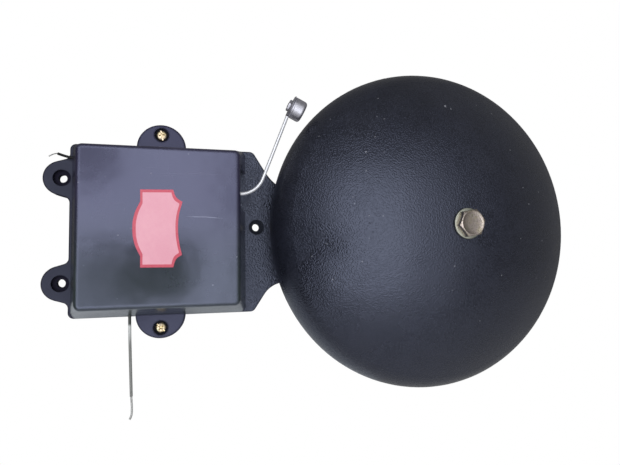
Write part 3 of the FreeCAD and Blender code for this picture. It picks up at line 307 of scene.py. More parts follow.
# %% Model the cover screws
HEAD_TOP = 3.0
SCREW_PROFILE = ((0.8, -11.0), (2.5, -9.4), (2.5, 0.0), (4.5, 0.0), (4.75, 0.25), (4.75, 1.0), (4.6, 1.6),
                 (4.15, 2.15), (3.4, 2.55), (2.3, 2.84), (1.0, 2.98), (0.2, HEAD_TOP))
SCREW_SIDES = 64
SLOT_WIDTH, SLOT_SPAN, SLOT_DEPTH = 1.15, 12.0, 1.25
CROSS_WIDTH, CROSS_SPAN, CROSS_DEPTH, CROSS_NARROWING = 1.25, 6.0, 1.9, 0.45
BLADE_ABOVE = 0.2
SCREW_SOFT_EDGE = 0.1
SCREW_X, SCREW_DEPTH = -85.0, 12.5
UPPER_SCREW_Z, LOWER_SCREW_Z = 81.5, -88.5


def driver_blade(width, span, depth, narrowing, turn):
    """The shape that a driver's blade leaves: a bar across the axis that narrows downwards."""
    fresh()
    bpy.ops.mesh.primitive_cube_add(size=1, location=(0, 0, (HEAD_TOP - depth / 2 + BLADE_ABOVE) * MM))
    blade = bpy.context.object
    blade.scale = (span * MM, width * MM, (depth + 2 * BLADE_ABOVE) * MM)
    blade.rotation_euler.z = turn
    freeze()
    edit(blade)
    pick("FACE", lambda face: face.normal.z < -0.5)
    bpy.ops.transform.resize(value=(narrowing, narrowing, 1), center_override=(0, 0, 0))
    bpy.ops.object.mode_set(mode="OBJECT")
    return blade


screw = turned("cover_screw_top", SCREW_PROFILE, SCREW_SIDES)
cut(screw, driver_blade(SLOT_WIDTH, SLOT_SPAN, SLOT_DEPTH, 1.0, 0.0))
for quarter in (0.0, math.radians(90)):
    cut(screw, driver_blade(CROSS_WIDTH, CROSS_SPAN, CROSS_DEPTH, CROSS_NARROWING, quarter))
softened(screw, SCREW_SOFT_EDGE)
second_screw = screw.copy()
second_screw.data = screw.data.copy()
second_screw.name = second_screw.data.name = "cover_screw_bottom"
bpy.context.collection.objects.link(second_screw)
for piece, height, slot_side in ((screw, UPPER_SCREW_Z, (-0.2, 0, 0.98)),
                                 (second_screw, LOWER_SCREW_Z, (-0.71, 0, 0.71))):
    settle(piece, (SCREW_X, -SCREW_DEPTH, height), TO_FRONT, slot_side)
    stands_for(piece, "bell", "cover_screws")
    report(piece)

# %% [markdown]
# ## Gong bolt and washer
# One hexagon bolt holds the gong. Its head was forged: six flats, a cone that takes off the six
# corners, and a round dished top. The turned body carries the cone and the dish, and a hexagonal
# bar common to both leaves the flats, so the curved lines where they meet come out by themselves.

# %% Model the gong bolt and its washer
GONG_X, GONG_Z = 158.5, -3.0
WASHER_DEPTH = 110.9
WASHER_THICK = 2.0
BOLT_FLATS = 20.6
BOLT_BAR = (-32.0, 8.0)
BOLT_SOFT_EDGE = 0.16
BOLT_TURN = math.radians(10)
BOLT_PROFILE = ((4.4, -30.0), (5.0, -29.4), (5.0, 0.0), (12.3, 0.0), (12.3, 4.9), (9.8, 6.4), (9.2, 6.38),
                (8.6, 6.0), (7.4, 5.7), (4.8, 5.52), (1.7, 5.44), (0.3, 5.42))
WASHER_PROFILE = ((5.5, 0.0), (12.1, 0.0), (12.7, 0.5), (12.7, 1.3), (12.4, 1.8),
                  (11.8, WASHER_THICK), (6.1, WASHER_THICK), (5.5, 1.6))
bolt = turned("gong_bolt_head", BOLT_PROFILE)
cut(bolt, hexagon(BOLT_FLATS, *BOLT_BAR), "INTERSECT")
softened(bolt, BOLT_SOFT_EDGE)
settle(bolt, (GONG_X, -WASHER_DEPTH - WASHER_THICK, GONG_Z), TO_FRONT,
       (math.cos(BOLT_TURN), 0, math.sin(BOLT_TURN)))
washer = turned("gong_bolt_washer", WASHER_PROFILE, hollow=True)
settle(washer, (GONG_X, -WASHER_DEPTH, GONG_Z), TO_FRONT, (1, 0, 0))
for piece, node, slot_name in ((bolt, "gong_bolt", "yellow_zinc"), (washer, "gong_washer", "bright_steel")):
    stands_for(piece, "bell", node)
    report(piece)

# %% [markdown]
# ## Hammer
# The hammer is a short steel drum with a rounded striking edge. Its stud passes through the rod's
# eye, and a thin washer and a small nut clamp it. All three share one slanting axis, so each is
# modelled upright from the washer's face and then carried to that axis, and they ride the hammer.

# %% Model the hammer
HAMMER_FACE = (28.529, -40.0, 107.184)
HAMMER_TILT = math.radians(26)
HAMMER_AXIS = (math.cos(HAMMER_TILT), 0, -math.sin(HAMMER_TILT))
HAMMER_SIDE = Vector((0.2, -0.87, 0.5))
FLAT_FORWARD = Matrix.Rotation(math.radians(30), 3, Vector(HAMMER_AXIS)) @ HAMMER_SIDE
HEAD_LENGTH, HEAD_RADIUS = 11.5, 9.7
HEAD_ROUND, HEAD_ROUND_STEPS = 2.6, 8
GROOVE_RADIUS = HEAD_RADIUS - 0.15
HEAD_PROFILE = ((1.9, -4.3), (2.5, -3.8), (2.5, 0.0), (9.2, 0.0), (HEAD_RADIUS, 0.45), (HEAD_RADIUS, 1.5),
                (GROOVE_RADIUS, 1.65), (GROOVE_RADIUS, 1.85), (HEAD_RADIUS, 2.0),
                (HEAD_RADIUS, HEAD_LENGTH), (0.4, HEAD_LENGTH))
DISC_PROFILE = ((2.55, -1.6), (9.2, -1.6), (9.9, -1.25), (10.2, -0.8), (9.9, -0.35), (9.2, 0.0),
                (2.55, 0.0))
NUT_PROFILE = ((2.6, -4.0), (4.5, -4.0), (5.6, -3.4), (5.6, -2.2), (4.6, -1.6), (2.6, -1.6))
NUT_SIDES, NUT_FLATS, NUT_BAR, NUT_SOFT_EDGE = 72, 9.4, (-6.0, -1.0), 0.1
NEAR = 0.1


def on_striking_rim(edge):
    """Whether an edge of the drum lies on the rim of its far end."""
    return all(v.co.z > (HEAD_LENGTH - NEAR) * MM and v.co.xy.length > (HEAD_RADIUS - NEAR) * MM
               for v in edge.verts)


head = turned("hammer_drum", HEAD_PROFILE)
edit(head)
pick("EDGE", on_striking_rim)
bpy.ops.mesh.bevel(offset=HEAD_ROUND * MM, segments=HEAD_ROUND_STEPS, affect="EDGES")
smoothed(head)
disc = turned("hammer_disc", DISC_PROFILE, hollow=True)
nut = turned("hammer_hex_nut", NUT_PROFILE, NUT_SIDES, hollow=True)
cut(nut, hexagon(NUT_FLATS, *NUT_BAR), "INTERSECT")
softened(nut, NUT_SOFT_EDGE)
for piece, node, side in ((head, "hammer_head", HAMMER_SIDE), (disc, "hammer_washer", HAMMER_SIDE),
                          (nut, "hammer_nut", FLAT_FORWARD)):
    settle(piece, HAMMER_FACE, HAMMER_AXIS, side)
    stands_for(piece, "hammer", node)
    report(piece)

# %% [markdown]
# ## Return spring
# Inside the case a coil spring draws the armature back. A Screw modifier carries a round section
# up a helix, and two small bent wires hook its ends to a post on the case and to the armature.
# The post stands still and the armature turns.

# %% Model the return spring
SPRING_START = (-61.0, -38.0, 19.0)
COIL_RADIUS, WIRE_RADIUS = 2.6, 0.4
COIL_TURNS, COIL_LENGTH = 20, 21.0
WIRE_SIDES, TURN_STEPS, SPRING_SMOOTH_BELOW = 10, 20, 60
HOOKS = (((COIL_RADIUS, 0, 0), (2.3, 0, -0.9), (0.9, 0, -1.6), (2.3, 0, -3.4), (2.3, 0, -7.3),
          (-2.3, 0, -7.3), (-2.3, 0, -3.2), (0.2, 0, -2.3)),
         ((COIL_RADIUS, 0, COIL_LENGTH), (2.2, 0, 22.0), (0.0, 0, 22.4), (0.0, 0, 25.0), (0.0, 0, 27.4)))
fresh()
bpy.ops.mesh.primitive_circle_add(vertices=WIRE_SIDES, radius=WIRE_RADIUS * MM, fill_type="NOTHING",
                                  location=(COIL_RADIUS * MM, 0, 0), rotation=(math.radians(90), 0, 0))
spring = bpy.context.object
spring.name = spring.data.name = "coil_spring"
freeze()
modify(spring, "SCREW", iterations=COIL_TURNS, screw_offset=COIL_LENGTH / COIL_TURNS * MM,
       steps=TURN_STEPS, render_steps=TURN_STEPS)
edit(spring)
pick("EDGE", lambda edge: edge.is_boundary)
bpy.ops.mesh.fill()
for number, route in enumerate(HOOKS):
    hook = soft_line("spring_hook_%d" % number, route, WIRE_RADIUS)
    hold(hook)
    bpy.ops.object.convert(target="MESH")
    hook.select_set(True)
    spring.select_set(True)
    bpy.context.view_layer.objects.active = spring
    bpy.ops.object.join()
smoothed(spring, SPRING_SMOOTH_BELOW)
settle(spring, SPRING_START, (1, 0, 0), (0, 0, 1))
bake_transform(spring)
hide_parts("return_spring")
report(spring)

# %% [markdown]
# ## Sticker
# A shaped paper sticker lies on the cover, with a printed border. Its outline has straight ends, a
# bulge on one long side and a hollow on the other, so it is drawn as a flat curve whose corners
# are sharp and whose other points are smooth, and is made a mesh. An inset of no width gives the
# field its own face, which is drawn in on both axes, so the border can't fold at a sharp corner.
# The field is left bare.

# %% Model the sticker
SHARP, SOFT = "VECTOR", "AUTO"
STICKER_OUTLINE = ((-98.5, 25.6, SHARP), (-73.8, 26.0, SHARP), (-71.3, 19.9, SOFT), (-66.6, 16.4, SHARP),
                   (-69.3, 5.9, SOFT), (-70.0, -4.9, SOFT), (-69.1, -15.6, SOFT), (-66.9, -25.7, SHARP),
                   (-71.2, -29.1, SOFT), (-73.5, -35.5, SHARP), (-98.1, -35.3, SHARP),
                   (-98.1, -26.7, SHARP), (-102.3, -17.2, SOFT), (-104.0, -5.0, SOFT),
                   (-102.6, 6.3, SOFT), (-98.4, 16.3, SHARP))
STICKER_STEPS, SEAM_WIDTH = 10, 0.01
COVER_FACE = 62.0
STICKER_THICK = 0.14
STICKER_MIDDLE = (-85.0, -4.8, 0.0)
FIELD_SHARE = (0.87, 0.925, 1.0)
outline = bpy.data.curves.new("sticker", "CURVE")
outline.dimensions = "2D"
outline.fill_mode = "NONE"
outline.resolution_u = STICKER_STEPS
edge_line = outline.splines.new("BEZIER")
edge_line.use_cyclic_u = True
edge_line.bezier_points.add(len(STICKER_OUTLINE) - 1)
for knot, (x, z, handle) in zip(edge_line.bezier_points, STICKER_OUTLINE):
    knot.co = (x * MM, z * MM, 0)
    knot.handle_left_type = knot.handle_right_type = handle
sticker = add_object("sticker", outline)
hold(sticker)
bpy.ops.object.convert(target="MESH")
edit(sticker)
bpy.ops.mesh.remove_doubles(threshold=SEAM_WIDTH * MM)
bpy.ops.mesh.select_all(action="SELECT")
bpy.ops.mesh.edge_face_add()
pick("FACE", lambda face: True)
bpy.ops.mesh.inset(thickness=0.0)
bpy.ops.transform.resize(value=FIELD_SHARE, center_override=Vector(STICKER_MIDDLE) * MM)
sheet = bmesh.from_edit_mesh(sticker.data)
for face in sheet.faces:
    face.material_index = 1 if face.select else 0
print("sticker faces:", len(sheet.faces), "of which field", sum(face.select for face in sheet.faces))
bmesh.update_edit_mesh(sticker.data)
modify(sticker, "SOLIDIFY", thickness=STICKER_THICK * MM, offset=0.0)
settle(sticker, (0, -COVER_FACE - STICKER_THICK / 2, 0), TO_FRONT, (1, 0, 0))
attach(sticker, "bell")
report(sticker)

# %% [markdown]
# ## Building shaders
# A finish is a tree of shader nodes. These helpers keep each tree short to read: `begin` takes up
# a tree, `add` makes a node in it and fills or links its inputs, and the others are its most used
# kinds.

# %% Helpers for shader trees
building = []


def begin(tree):
    """Takes up a shader tree. The helpers below work on the tree that was begun last."""
    building.append(tree)
    return tree


def wire(socket, end):
    """Links a socket to an input."""
    building[-1].links.new(socket, end)


def add(kind, inputs=None, **settings):
    """Adds a shader node. Each input is given a value, or is linked when it gets a socket."""
    made = building[-1].nodes.new(kind)
    for name, value in settings.items():
        setattr(made, name, value)
    for name, value in (inputs or {}).items():
        if isinstance(value, bpy.types.NodeSocket):
            wire(value, made.inputs[name])
        else:
            made.inputs[name].default_value = value
    return made


def maths(operation, first, second=0.5):
    """One sum of two numbers or sockets."""
    return add("ShaderNodeMath", {0: first, 1: second}, operation=operation).outputs[0]


def vectors(operation, inputs, output="Vector"):
    """One sum of vectors."""
    return add("ShaderNodeVectorMath", inputs, operation=operation).outputs[output]


def times(first, second):
    return maths("MULTIPLY", first, second)


def plus(first, second):
    return maths("ADD", first, second)


def ramp(value, low, high, start=0.0, end=1.0):
    """Carries a value smoothly from start to end as it goes from low to high."""
    return add("ShaderNodeMapRange",
               {"Value": value, "From Min": low, "From Max": high, "To Min": start, "To Max": end},
               interpolation_type="SMOOTHSTEP").outputs["Result"]


def between(share, start, end):
    """Carries a share of 0 to 1 smoothly from start to end."""
    return ramp(share, 0.0, 1.0, start, end)


def mixed(factor, *colours):
    """A colour between two, each a socket or three numbers."""
    first, second = (c if isinstance(c, bpy.types.NodeSocket) else (*c, 1) for c in colours)
    return add("ShaderNodeMix", {0: factor, 6: first, 7: second}, data_type="RGBA").outputs[2]


def laid(colour, mask, share, over):
    """A colour with another laid over it where the mask is, up to a share."""
    return mixed(times(mask, share), colour, over)


def on_object(scale=(1, 1, 1), turn=(0, 0, 0), shift=(0, 0, 0)):
    """The point in metres in the object's own space, scaled, turned and shifted."""
    point = add("ShaderNodeTexCoord").outputs["Object"]
    return add("ShaderNodeMapping", {"Vector": point, "Scale": scale, "Rotation": turn,
                                     "Location": shift}).outputs["Vector"]


def part_of(vector, axis):
    """The share of a vector along X, Y or Z."""
    return add("ShaderNodeSeparateXYZ", {0: vector}).outputs[axis]


def along(axis):
    """How far a point lies along X, Y or Z, in metres."""
    return part_of(on_object(), axis)


def facing(axis):
    """How much a face looks along X, Y or Z, from -1 to 1."""
    return part_of(add("ShaderNodeNewGeometry").outputs["Normal"], axis)


def noise(vector, scale, detail=3.0, roughness=0.5, distortion=0.0):
    """Cloudy noise, so many lumps to the metre."""
    return add("ShaderNodeTexNoise",
               {"Vector": vector, "Scale": scale, "Detail": detail, "Roughness": roughness,
                "Distortion": distortion}).outputs["Fac"]


def mottle(*character):
    """Cloudy noise on the object as it is."""
    return noise(on_object(), *character)


def effect(name, takes, gives):
    """Begins a node group with named inputs and outputs, and gives back its two ends."""
    tree = begin(bpy.data.node_groups.new(name, "ShaderNodeTree"))
    for label, value in takes.items():
        taken = tree.interface.new_socket(label, in_out="INPUT", socket_type="NodeSocketFloat")
        taken.default_value = value
    for label in gives:
        tree.interface.new_socket(label, in_out="OUTPUT", socket_type="NodeSocketFloat")
    return tree.nodes.new("NodeGroupInput").outputs, tree.nodes.new("NodeGroupOutput").inputs


def use(group, **inputs):
    """Puts an effect in with its own values and gives back its outputs."""
    return add("ShaderNodeGroup", inputs, node_tree=bpy.data.node_groups[group]).outputs


def uneven(broad, fine):
    """The slow change of tone of an uneven coat."""
    return use("uneven_coat", Broad=broad, Fine=fine)["Tone"]


def principled(label):
    """An input of the Principled shader, with underscores for the spaces in its name."""
    return building[-1].nodes["Principled BSDF"].inputs[label.replace("_", " ")]


def finish(name, **values):
    """Begins a new material, with constant values set on its Principled shader."""
    material = bpy.data.materials.new(name)
    material.use_nodes = True
    begin(material.node_tree)
    for label, value in values.items():
        principled(label).default_value = value
    return material


def feed(**sockets):
    """Links sockets to the Principled shader."""
    for label, socket in sockets.items():
        wire(socket, principled(label))


def relief(height, distance, edge_round=0.0003):
    """Feeds a height into the normal over edges that look a little rounded, both in metres."""
    rounded = add("ShaderNodeBevel", {"Radius": edge_round}, samples=4).outputs["Normal"]
    bump = add("ShaderNodeBump", {"Height": height, "Distance": distance, "Normal": rounded})
    feed(Normal=bump.outputs["Normal"])


# %% [markdown]
# ## Effects that several finishes share
# The bell's paint, plating and plastic all carry the same kinds of small marks: a pebbled skin,
# edges rubbed bright, fine scratches, settled dust and an uneven coat. Each is a node group made
# once. It gives out only numbers, and every material places it with values of its own.

# %% Pebbled skin
# Rounded grains a millimetre or two across, as heavy textured paint dries in, with a mask of the cracks
# between them, which the paints darken as painted shade.
takes, gives = effect("pebbles", {"Grains": 600.0, "Warp": 0.25}, ["Height", "Gap_shade"])
point = on_object()
grains = takes["Grains"]
drift = add("ShaderNodeTexNoise", {"Vector": point, "Scale": grains, "Detail": 1.0}).outputs["Color"]
centred = vectors("SUBTRACT", {0: drift, 1: (0.5, 0.5, 0.5)})
shift = vectors("SCALE", {0: centred, "Scale": maths("DIVIDE", takes["Warp"], grains)})
bent = vectors("ADD", {0: point, 1: shift})
cells = add("ShaderNodeTexVoronoi", {"Vector": bent, "Scale": grains, "Smoothness": 0.45},
            feature="SMOOTH_F1").outputs["Distance"]
dome = ramp(cells, 0.66, 0.22)
swell = noise(point, times(grains, 0.45), 2.0)
wire(times(dome, plus(times(swell, 0.8), 0.5)), gives["Height"])
# The second output marks the cracks between the grains, for painted shade.
wire(ramp(cells, 0.35, 0.75), gives["Gap_shade"])

# %% Rubbed edges
# Finds sharp outer edges by comparing a rounded normal with the true one.
takes, gives = effect("rubbed_edges", {"Width": 0.0008, "Patches": 90.0}, ["Mask"])
rounded = add("ShaderNodeBevel", {"Radius": takes["Width"]}, samples=6).outputs["Normal"]
true_normal = add("ShaderNodeNewGeometry").outputs["Normal"]
likeness = vectors("DOT_PRODUCT", {0: rounded, 1: true_normal}, "Value")
edge = ramp(likeness, 0.995, 0.86)
patch = mottle(takes["Patches"], 5.0, 0.7)
wire(times(edge, ramp(patch, 0.42, 0.62)), gives["Mask"])

# %% Fine scratches
# Long thin marks in two directions, only here and there.
takes, gives = effect("scratches", {"Amount": 0.5, "Spread": 25.0}, ["Mask"])
lines = []
for turn, seed in ((0.5, 0.1), (-0.9, 0.7)):
    vector = on_object(scale=(14, 14, 900), turn=(0, turn, 0), shift=(seed, seed, seed))
    lines.append(ramp(noise(vector, 1.0, 1.0), 0.70, 0.78))
both = maths("MAXIMUM", lines[0], lines[1])
where = ramp(mottle(takes["Spread"], 2.0), 0.52, 0.68)
wire(times(times(both, where), takes["Amount"]), gives["Mask"])

# %% Settled dust
# Thin dust in clouds, thicker on what faces up, with a few larger specks.
takes, gives = effect("dust", {"Clouds": 30.0, "Specks": 260.0}, ["Film", "Speck"])
point = on_object()
cloud = noise(point, takes["Clouds"], 6.0, 0.65)
upward = ramp(facing("Z"), -0.3, 1.0, 0.35, 1.0)
wire(times(ramp(cloud, 0.35, 0.75), upward), gives["Film"])
cells = add("ShaderNodeTexVoronoi", {"Vector": point, "Scale": takes["Specks"]})
near = ramp(cells.outputs["Distance"], 0.16, 0.08)
chosen = add("ShaderNodeSeparateColor", {0: cells.outputs["Color"]}).outputs[0]
wire(times(near, ramp(chosen, 0.93, 0.97)), gives["Speck"])

# %% Uneven coat
# Slow changes of tone over a surface, in a large and a small size.
takes, gives = effect("uneven_coat", {"Broad": 12.0, "Fine": 110.0}, ["Tone"])
point = on_object()
broad = noise(point, takes["Broad"], 3.0)
fine = noise(point, takes["Fine"], 4.0)
tone = plus(times(broad, 0.65), times(fine, 0.35))
wire(ramp(tone, 0.3, 0.7), gives["Tone"])

# %% Tool marks
# Fine grain drawn out along the object's x axis, as drawn wire or ground plate has.
takes, gives = effect("tool_marks", {"Across": 2600.0, "Along": 60.0}, ["Height"])
across = takes["Across"]
scale = add("ShaderNodeCombineXYZ", {"X": takes["Along"], "Y": across, "Z": across}).outputs[0]
point = add("ShaderNodeTexCoord").outputs["Object"]
wire(noise(vectors("MULTIPLY", {0: point, 1: scale}), 1.0, 2.0), gives["Height"])
print("shared effects:", [group.name for group in bpy.data.node_groups])

# %% [markdown]
# ## Paint on the casting and the gong
# Both are painted with the same black textured paint. On cast iron the grain is coarse and the
# edges show a little grey where the paint is rubbed; on the pressed gong it is finer, and the
# dome has a few chips and scuffs from handling, each a small ragged spot at its own place.

# %% Places on the front
# Near black: painted shade in the sinks, and also the colour of the dark pits on the gong.
SHADE_AND_PIT_BLACK = (0.002, 0.002, 0.003)
SINK_BLUR = 0.8


def away_from(x, z):
    """The distance in metres from a line along Y through (x, z) in millimetres."""
    point = on_object(scale=(1, 0, 1), shift=(-x * MM, 0, -z * MM))
    return vectors("LENGTH", {0: point}, "Value")


def sunk(places, radius):
    """A mask of the round sinks that are this many millimetres across their half."""
    total = 0.0
    for x, z in places:
        inside = ramp(away_from(x, z), radius * MM, (radius - SINK_BLUR) * MM)
        total = maths("MAXIMUM", total, inside)
    return total


def forward():
    """A mask of the faces that look to the front."""
    return ramp(facing("Y"), 0.0, -0.3)


def spots(places):
    """A mask of ragged spots at (x, z, size) in millimetres, only on faces that look to the front."""
    ragged = mottle(700.0, 3.0, 0.6)
    total = 0.0
    for x, z, size in places:
        spread = plus(away_from(x, z), times(ragged, 2.2 * size * MM))
        total = maths("MAXIMUM", total, ramp(spread, 1.7 * size * MM, 1.2 * size * MM))
    return times(total, forward())


# %% Black pebble paint
PAINT_SHEEN = (0.68, 0.74, 1.0, 1)
# A darker tone for the casting up to smooth_to along X.
LEFT_TONE = (0.007, 0.005, 0.012)
SINK_RADIUS = 7.3
GRAIN_FADE = 12.0


def pebble_paint(name, grains, depth, roughness, tone, scuffs, pits=(), sinks=(), smooth_to=None):
    """Textured black paint with light scuffs and dark pits at (x, z, size) in millimetres.

    The sinks are painted in shade, nearly black and rough, and up to smooth_to along X the paint is darker,
    rougher, less glossy and has less grain.
    """
    material = finish(name, IOR=1.5, Specular_IOR_Level=0.9, Specular_Tint=PAINT_SHEEN)
    skin = use("pebbles", Grains=grains)
    coat = uneven(9.0, 70.0)
    specks = use("dust", Clouds=22.0, Specks=190.0)
    colour = mixed(coat, [0.6 * v for v in tone], tone)
    # Painted shade: the cracks between the grains are darkened towards black.
    colour = laid(colour, skin["Gap_shade"], 0.6, (0.003, 0.003, 0.005))
    colour = laid(colour, specks["Film"], 0.02, (0.30, 0.30, 0.33))
    edge = use("rubbed_edges", Width=0.0009, Patches=140.0)["Mask"]
    colour = laid(colour, edge, 0.25, (0.16, 0.16, 0.17))
    colour = laid(colour, spots(scuffs), 0.8, (0.42, 0.42, 0.46))
    colour = laid(colour, specks["Speck"], 0.3, (0.40, 0.40, 0.43))
    hollow = spots(pits)
    # Painted shade: the fixing-hole sinks are darkened to near black and made rough, and the pits are real
    # dark marks.
    dull = maths("MAXIMUM", hollow, sunk(sinks, SINK_RADIUS))
    colour = mixed(dull, colour, SHADE_AND_PIT_BLACK)
    rough = plus(between(coat, roughness - 0.05, roughness + 0.07), times(dull, 0.5))
    height = skin["Height"]
    if smooth_to is not None:
        grainy = ramp(along("X"), (smooth_to - GRAIN_FADE) * MM, smooth_to * MM)
        height = times(height, between(grainy, 0.12, 1.0))
        rough = plus(rough, between(grainy, 0.16, 0.0))
        # Up to smooth_to along X the colour turns darker, with less grain, more roughness and less gloss.
        colour = mixed(grainy, LEFT_TONE, colour)
        feed(Specular_IOR_Level=between(grainy, 0.5, 0.9))
    feed(Base_Color=colour, Roughness=rough)
    relief(maths("SUBTRACT", height, hollow), depth, 0.0008)
    return material


GONG_SCUFFS = ((158.0, 103.6, 1.8), (163.0, 101.0, 1.2), (80.5, 57.7, 1.0), (217.0, 64.9, 1.0),
               (223.6, 29.8, 1.1), (229.3, 15.7, 0.9), (67.4, 19.6, 0.6))
GONG_PITS = ((79.2, -2.1, 1.5), (81.4, -9.4, 1.3), (75.5, -23.7, 1.1))
CASTING_SCUFFS = ((-9.6, 51.6, 0.8), (-4.4, 46.2, 0.9))
FIXING_HOLES = ((0.0, 0.0), (-166.5, 41.5), (-166.5, -48.5))
casting_finish = pebble_paint("casting_paint", 660.0, 0.00025, 0.29, (0.026, 0.029, 0.042), CASTING_SCUFFS,
                              sinks=FIXING_HOLES, smooth_to=-60.0)
gong_finish = pebble_paint("gong_paint", 780.0, 0.00015, 0.27, (0.013, 0.014, 0.022), GONG_SCUFFS,
                           GONG_PITS)

# %% [markdown]
# ## Moulded cover
# The cover is a smooth moulding with a satin gloss. Under the light it shows its slow waves, a
# film of dust and a few hair scratches, so its roughness changes over it and its bump is shallow.

# %% Cover plastic
# Satin plastic with dust and fine marks, greener at the foot and duller on the lugs. The last mark
# is one long hair scratch to the right of the sticker.
SCRATCH_X, SCRATCH_Z = -0.0662, 0.0042
SCREW_SINK_RADIUS = 6.6
cover_finish = finish("cover_plastic", IOR=1.6, Specular_IOR_Level=0.9, Specular_Tint=(0.66, 0.69, 1.0, 1))
coat = uneven(14.0, 60.0)
film = use("dust", Clouds=26.0, Specks=210.0)
colour = mixed(coat, (0.016, 0.014, 0.032), (0.026, 0.022, 0.046))
foot = ramp(along("Z"), 0.03, -0.05)
colour = mixed(foot, colour, (0.022, 0.030, 0.028))
colour = laid(colour, film["Film"], 0.05, (0.35, 0.36, 0.42))
colour = laid(colour, film["Speck"], 0.15, (0.6, 0.6, 0.62))
marks = use("scratches", Amount=0.5, Spread=18.0)["Mask"]
colour = laid(colour, marks, 0.3, (0.30, 0.31, 0.36))
edge = use("rubbed_edges", Width=0.0007, Patches=60.0)["Mask"]
colour = laid(colour, edge, 0.15, (0.20, 0.21, 0.25))
run = plus(along("X"), -SCRATCH_X)
line = plus(times(run, -0.05), times(mottle(60.0, 1.0), 0.002))
off = maths("ABSOLUTE", maths("SUBTRACT", maths("SUBTRACT", along("Z"), SCRATCH_Z), line))
ends = times(ramp(run, 0.0, 0.012), ramp(run, 0.034, 0.022))
colour = laid(colour, times(ramp(off, 0.00035, 0.0001), ends), 0.4, (0.42, 0.44, 0.52))
lug = times(ramp(along("Y"), -0.030, -0.016), ramp(forward(), 0.9, 1.0))
colour = laid(colour, lug, 0.8, (0.010, 0.007, 0.026))
feed(Specular_IOR_Level=between(lug, 0.9, 0.42))
# Painted shade: the sinks round the cover screws are darkened to near black and made rough.
screw_sink_shade = sunk(((SCREW_X, UPPER_SCREW_Z), (SCREW_X, LOWER_SCREW_Z)), SCREW_SINK_RADIUS)
colour = mixed(screw_sink_shade, colour, SHADE_AND_PIT_BLACK)
haze = plus(times(coat, 0.4), film["Film"])
rough = plus(ramp(haze, 0.0, 1.4, 0.20, 0.32), times(screw_sink_shade, 0.5))
feed(Base_Color=colour, Roughness=plus(rough, times(marks, 0.2)))
waves, peel = mottle(28.0, 2.0), mottle(480.0, 2.0)
relief(plus(waves, times(peel, 0.03)), 0.0008, 0.0022)

# %% [markdown]
# ## Printed sticker
# The sticker is coated paper: a strong red border printed round a pale pink field. The print has
# a faint grain and the paper has yellowed a little in places. The field carries no wording.

# %% Sticker print
def coated_paper(name, ink, faded):
    """Coated paper under one ink, faded here and there."""
    material = finish(name, IOR=1.45, Coat_Weight=0.25, Coat_Roughness=0.25)
    worn = uneven(45.0, 300.0)
    fibres = mottle(2600.0, 3.0, 0.7)
    colour = mixed(worn, ink, faded)
    colour = mixed(ramp(fibres, 0.5, 0.75, 0.0, 0.2), colour, (0.85, 0.72, 0.74))
    feed(Base_Color=colour, Roughness=between(worn, 0.38, 0.5))
    relief(fibres, 0.00002, 0.0001)
    return material


border_print = coated_paper("sticker_border", (0.53, 0.037, 0.077), (0.58, 0.063, 0.115))
field_print = coated_paper("sticker_field", (0.705, 0.30, 0.38), (0.74, 0.345, 0.42))

# %% [markdown]
# ## Plated and plain steel
# Small steel parts are plated: the screws and bolts in yellow zinc, whose film shifts from straw
# to pink and green, and the rod, washer and hammer in plain zinc, each with its own age and sheen.
# Inner parts are plain oiled steel.

# %% Metals
def yellow_zinc(name, straw, pink, green, rough_low):
    """Zinc plate under a passivated film of three tones, with small dull stains."""
    material = finish(name, Metallic=1.0)
    film = mottle(210.0, 3.0, 0.6, 0.6)
    colour = mixed(ramp(film, 0.35, 0.55), straw, pink)
    colour = mixed(ramp(film, 0.55, 0.72), colour, green)
    stain = mottle(900.0, 4.0, 0.7)
    colour = mixed(ramp(stain, 0.46, 0.64, 0.0, 0.65), colour, (0.20, 0.17, 0.13))
    edge = use("rubbed_edges", Width=0.0004, Patches=500.0)["Mask"]
    colour = laid(colour, edge, 0.6, (0.88, 0.86, 0.80))
    feed(Base_Color=colour, Roughness=ramp(stain, 0.35, 0.7, rough_low, rough_low + 0.24))
    relief(mottle(2400.0, 2.0), 0.00004)
    return material


def plated_steel(name, bright, dull, rough_low, rough_high, soiling, metallic=1.0):
    """Steel with a drawn grain, a changing sheen and a little dirt."""
    material = finish(name, Metallic=metallic)
    tone = uneven(60.0, 420.0)
    grain = use("tool_marks")["Height"]
    colour = mixed(tone, dull, bright)
    dirt = mottle(320.0, 5.0, 0.7)
    colour = mixed(ramp(dirt, 0.55, 0.75, 0.0, soiling), colour, (0.10, 0.09, 0.08))
    rough = ramp(plus(tone, grain), 0.4, 1.6, rough_low, rough_high)
    feed(Base_Color=colour, Roughness=rough)
    relief(grain, 0.00003)
    return material


zinc_finish = yellow_zinc("yellow_zinc", (0.80, 0.66, 0.34), (0.80, 0.64, 0.46), (0.62, 0.64, 0.38), 0.22)
worn_zinc_finish = yellow_zinc("worn_yellow_zinc", (0.46, 0.40, 0.31), (0.47, 0.40, 0.37),
                               (0.36, 0.35, 0.25), 0.28)
bright_finish = plated_steel("bright_steel", (0.78, 0.78, 0.84), (0.64, 0.64, 0.70), 0.16, 0.34, 0.25)
wire_finish = plated_steel("zinc_wire", (0.84, 0.84, 0.87), (0.72, 0.72, 0.76), 0.22, 0.40, 0.15, 0.55)
hammer_finish = plated_steel("hammer_plate", (0.53, 0.52, 0.57), (0.44, 0.435, 0.48), 0.24, 0.40, 0.3, 0.85)
washer_finish = plated_steel("dull_plate", (0.50, 0.50, 0.43), (0.34, 0.35, 0.28), 0.22, 0.44, 0.5)
dark_finish = plated_steel("dark_steel", (0.34, 0.34, 0.35), (0.22, 0.22, 0.23), 0.30, 0.50, 0.6)

# %% [markdown]
# ## Magnet, winding and insulation
# The core is a stack of half-millimetre laminations, which show as fine stripes along its depth.
# The winding is wrapped in varnished tape, laid in overlapping turns.

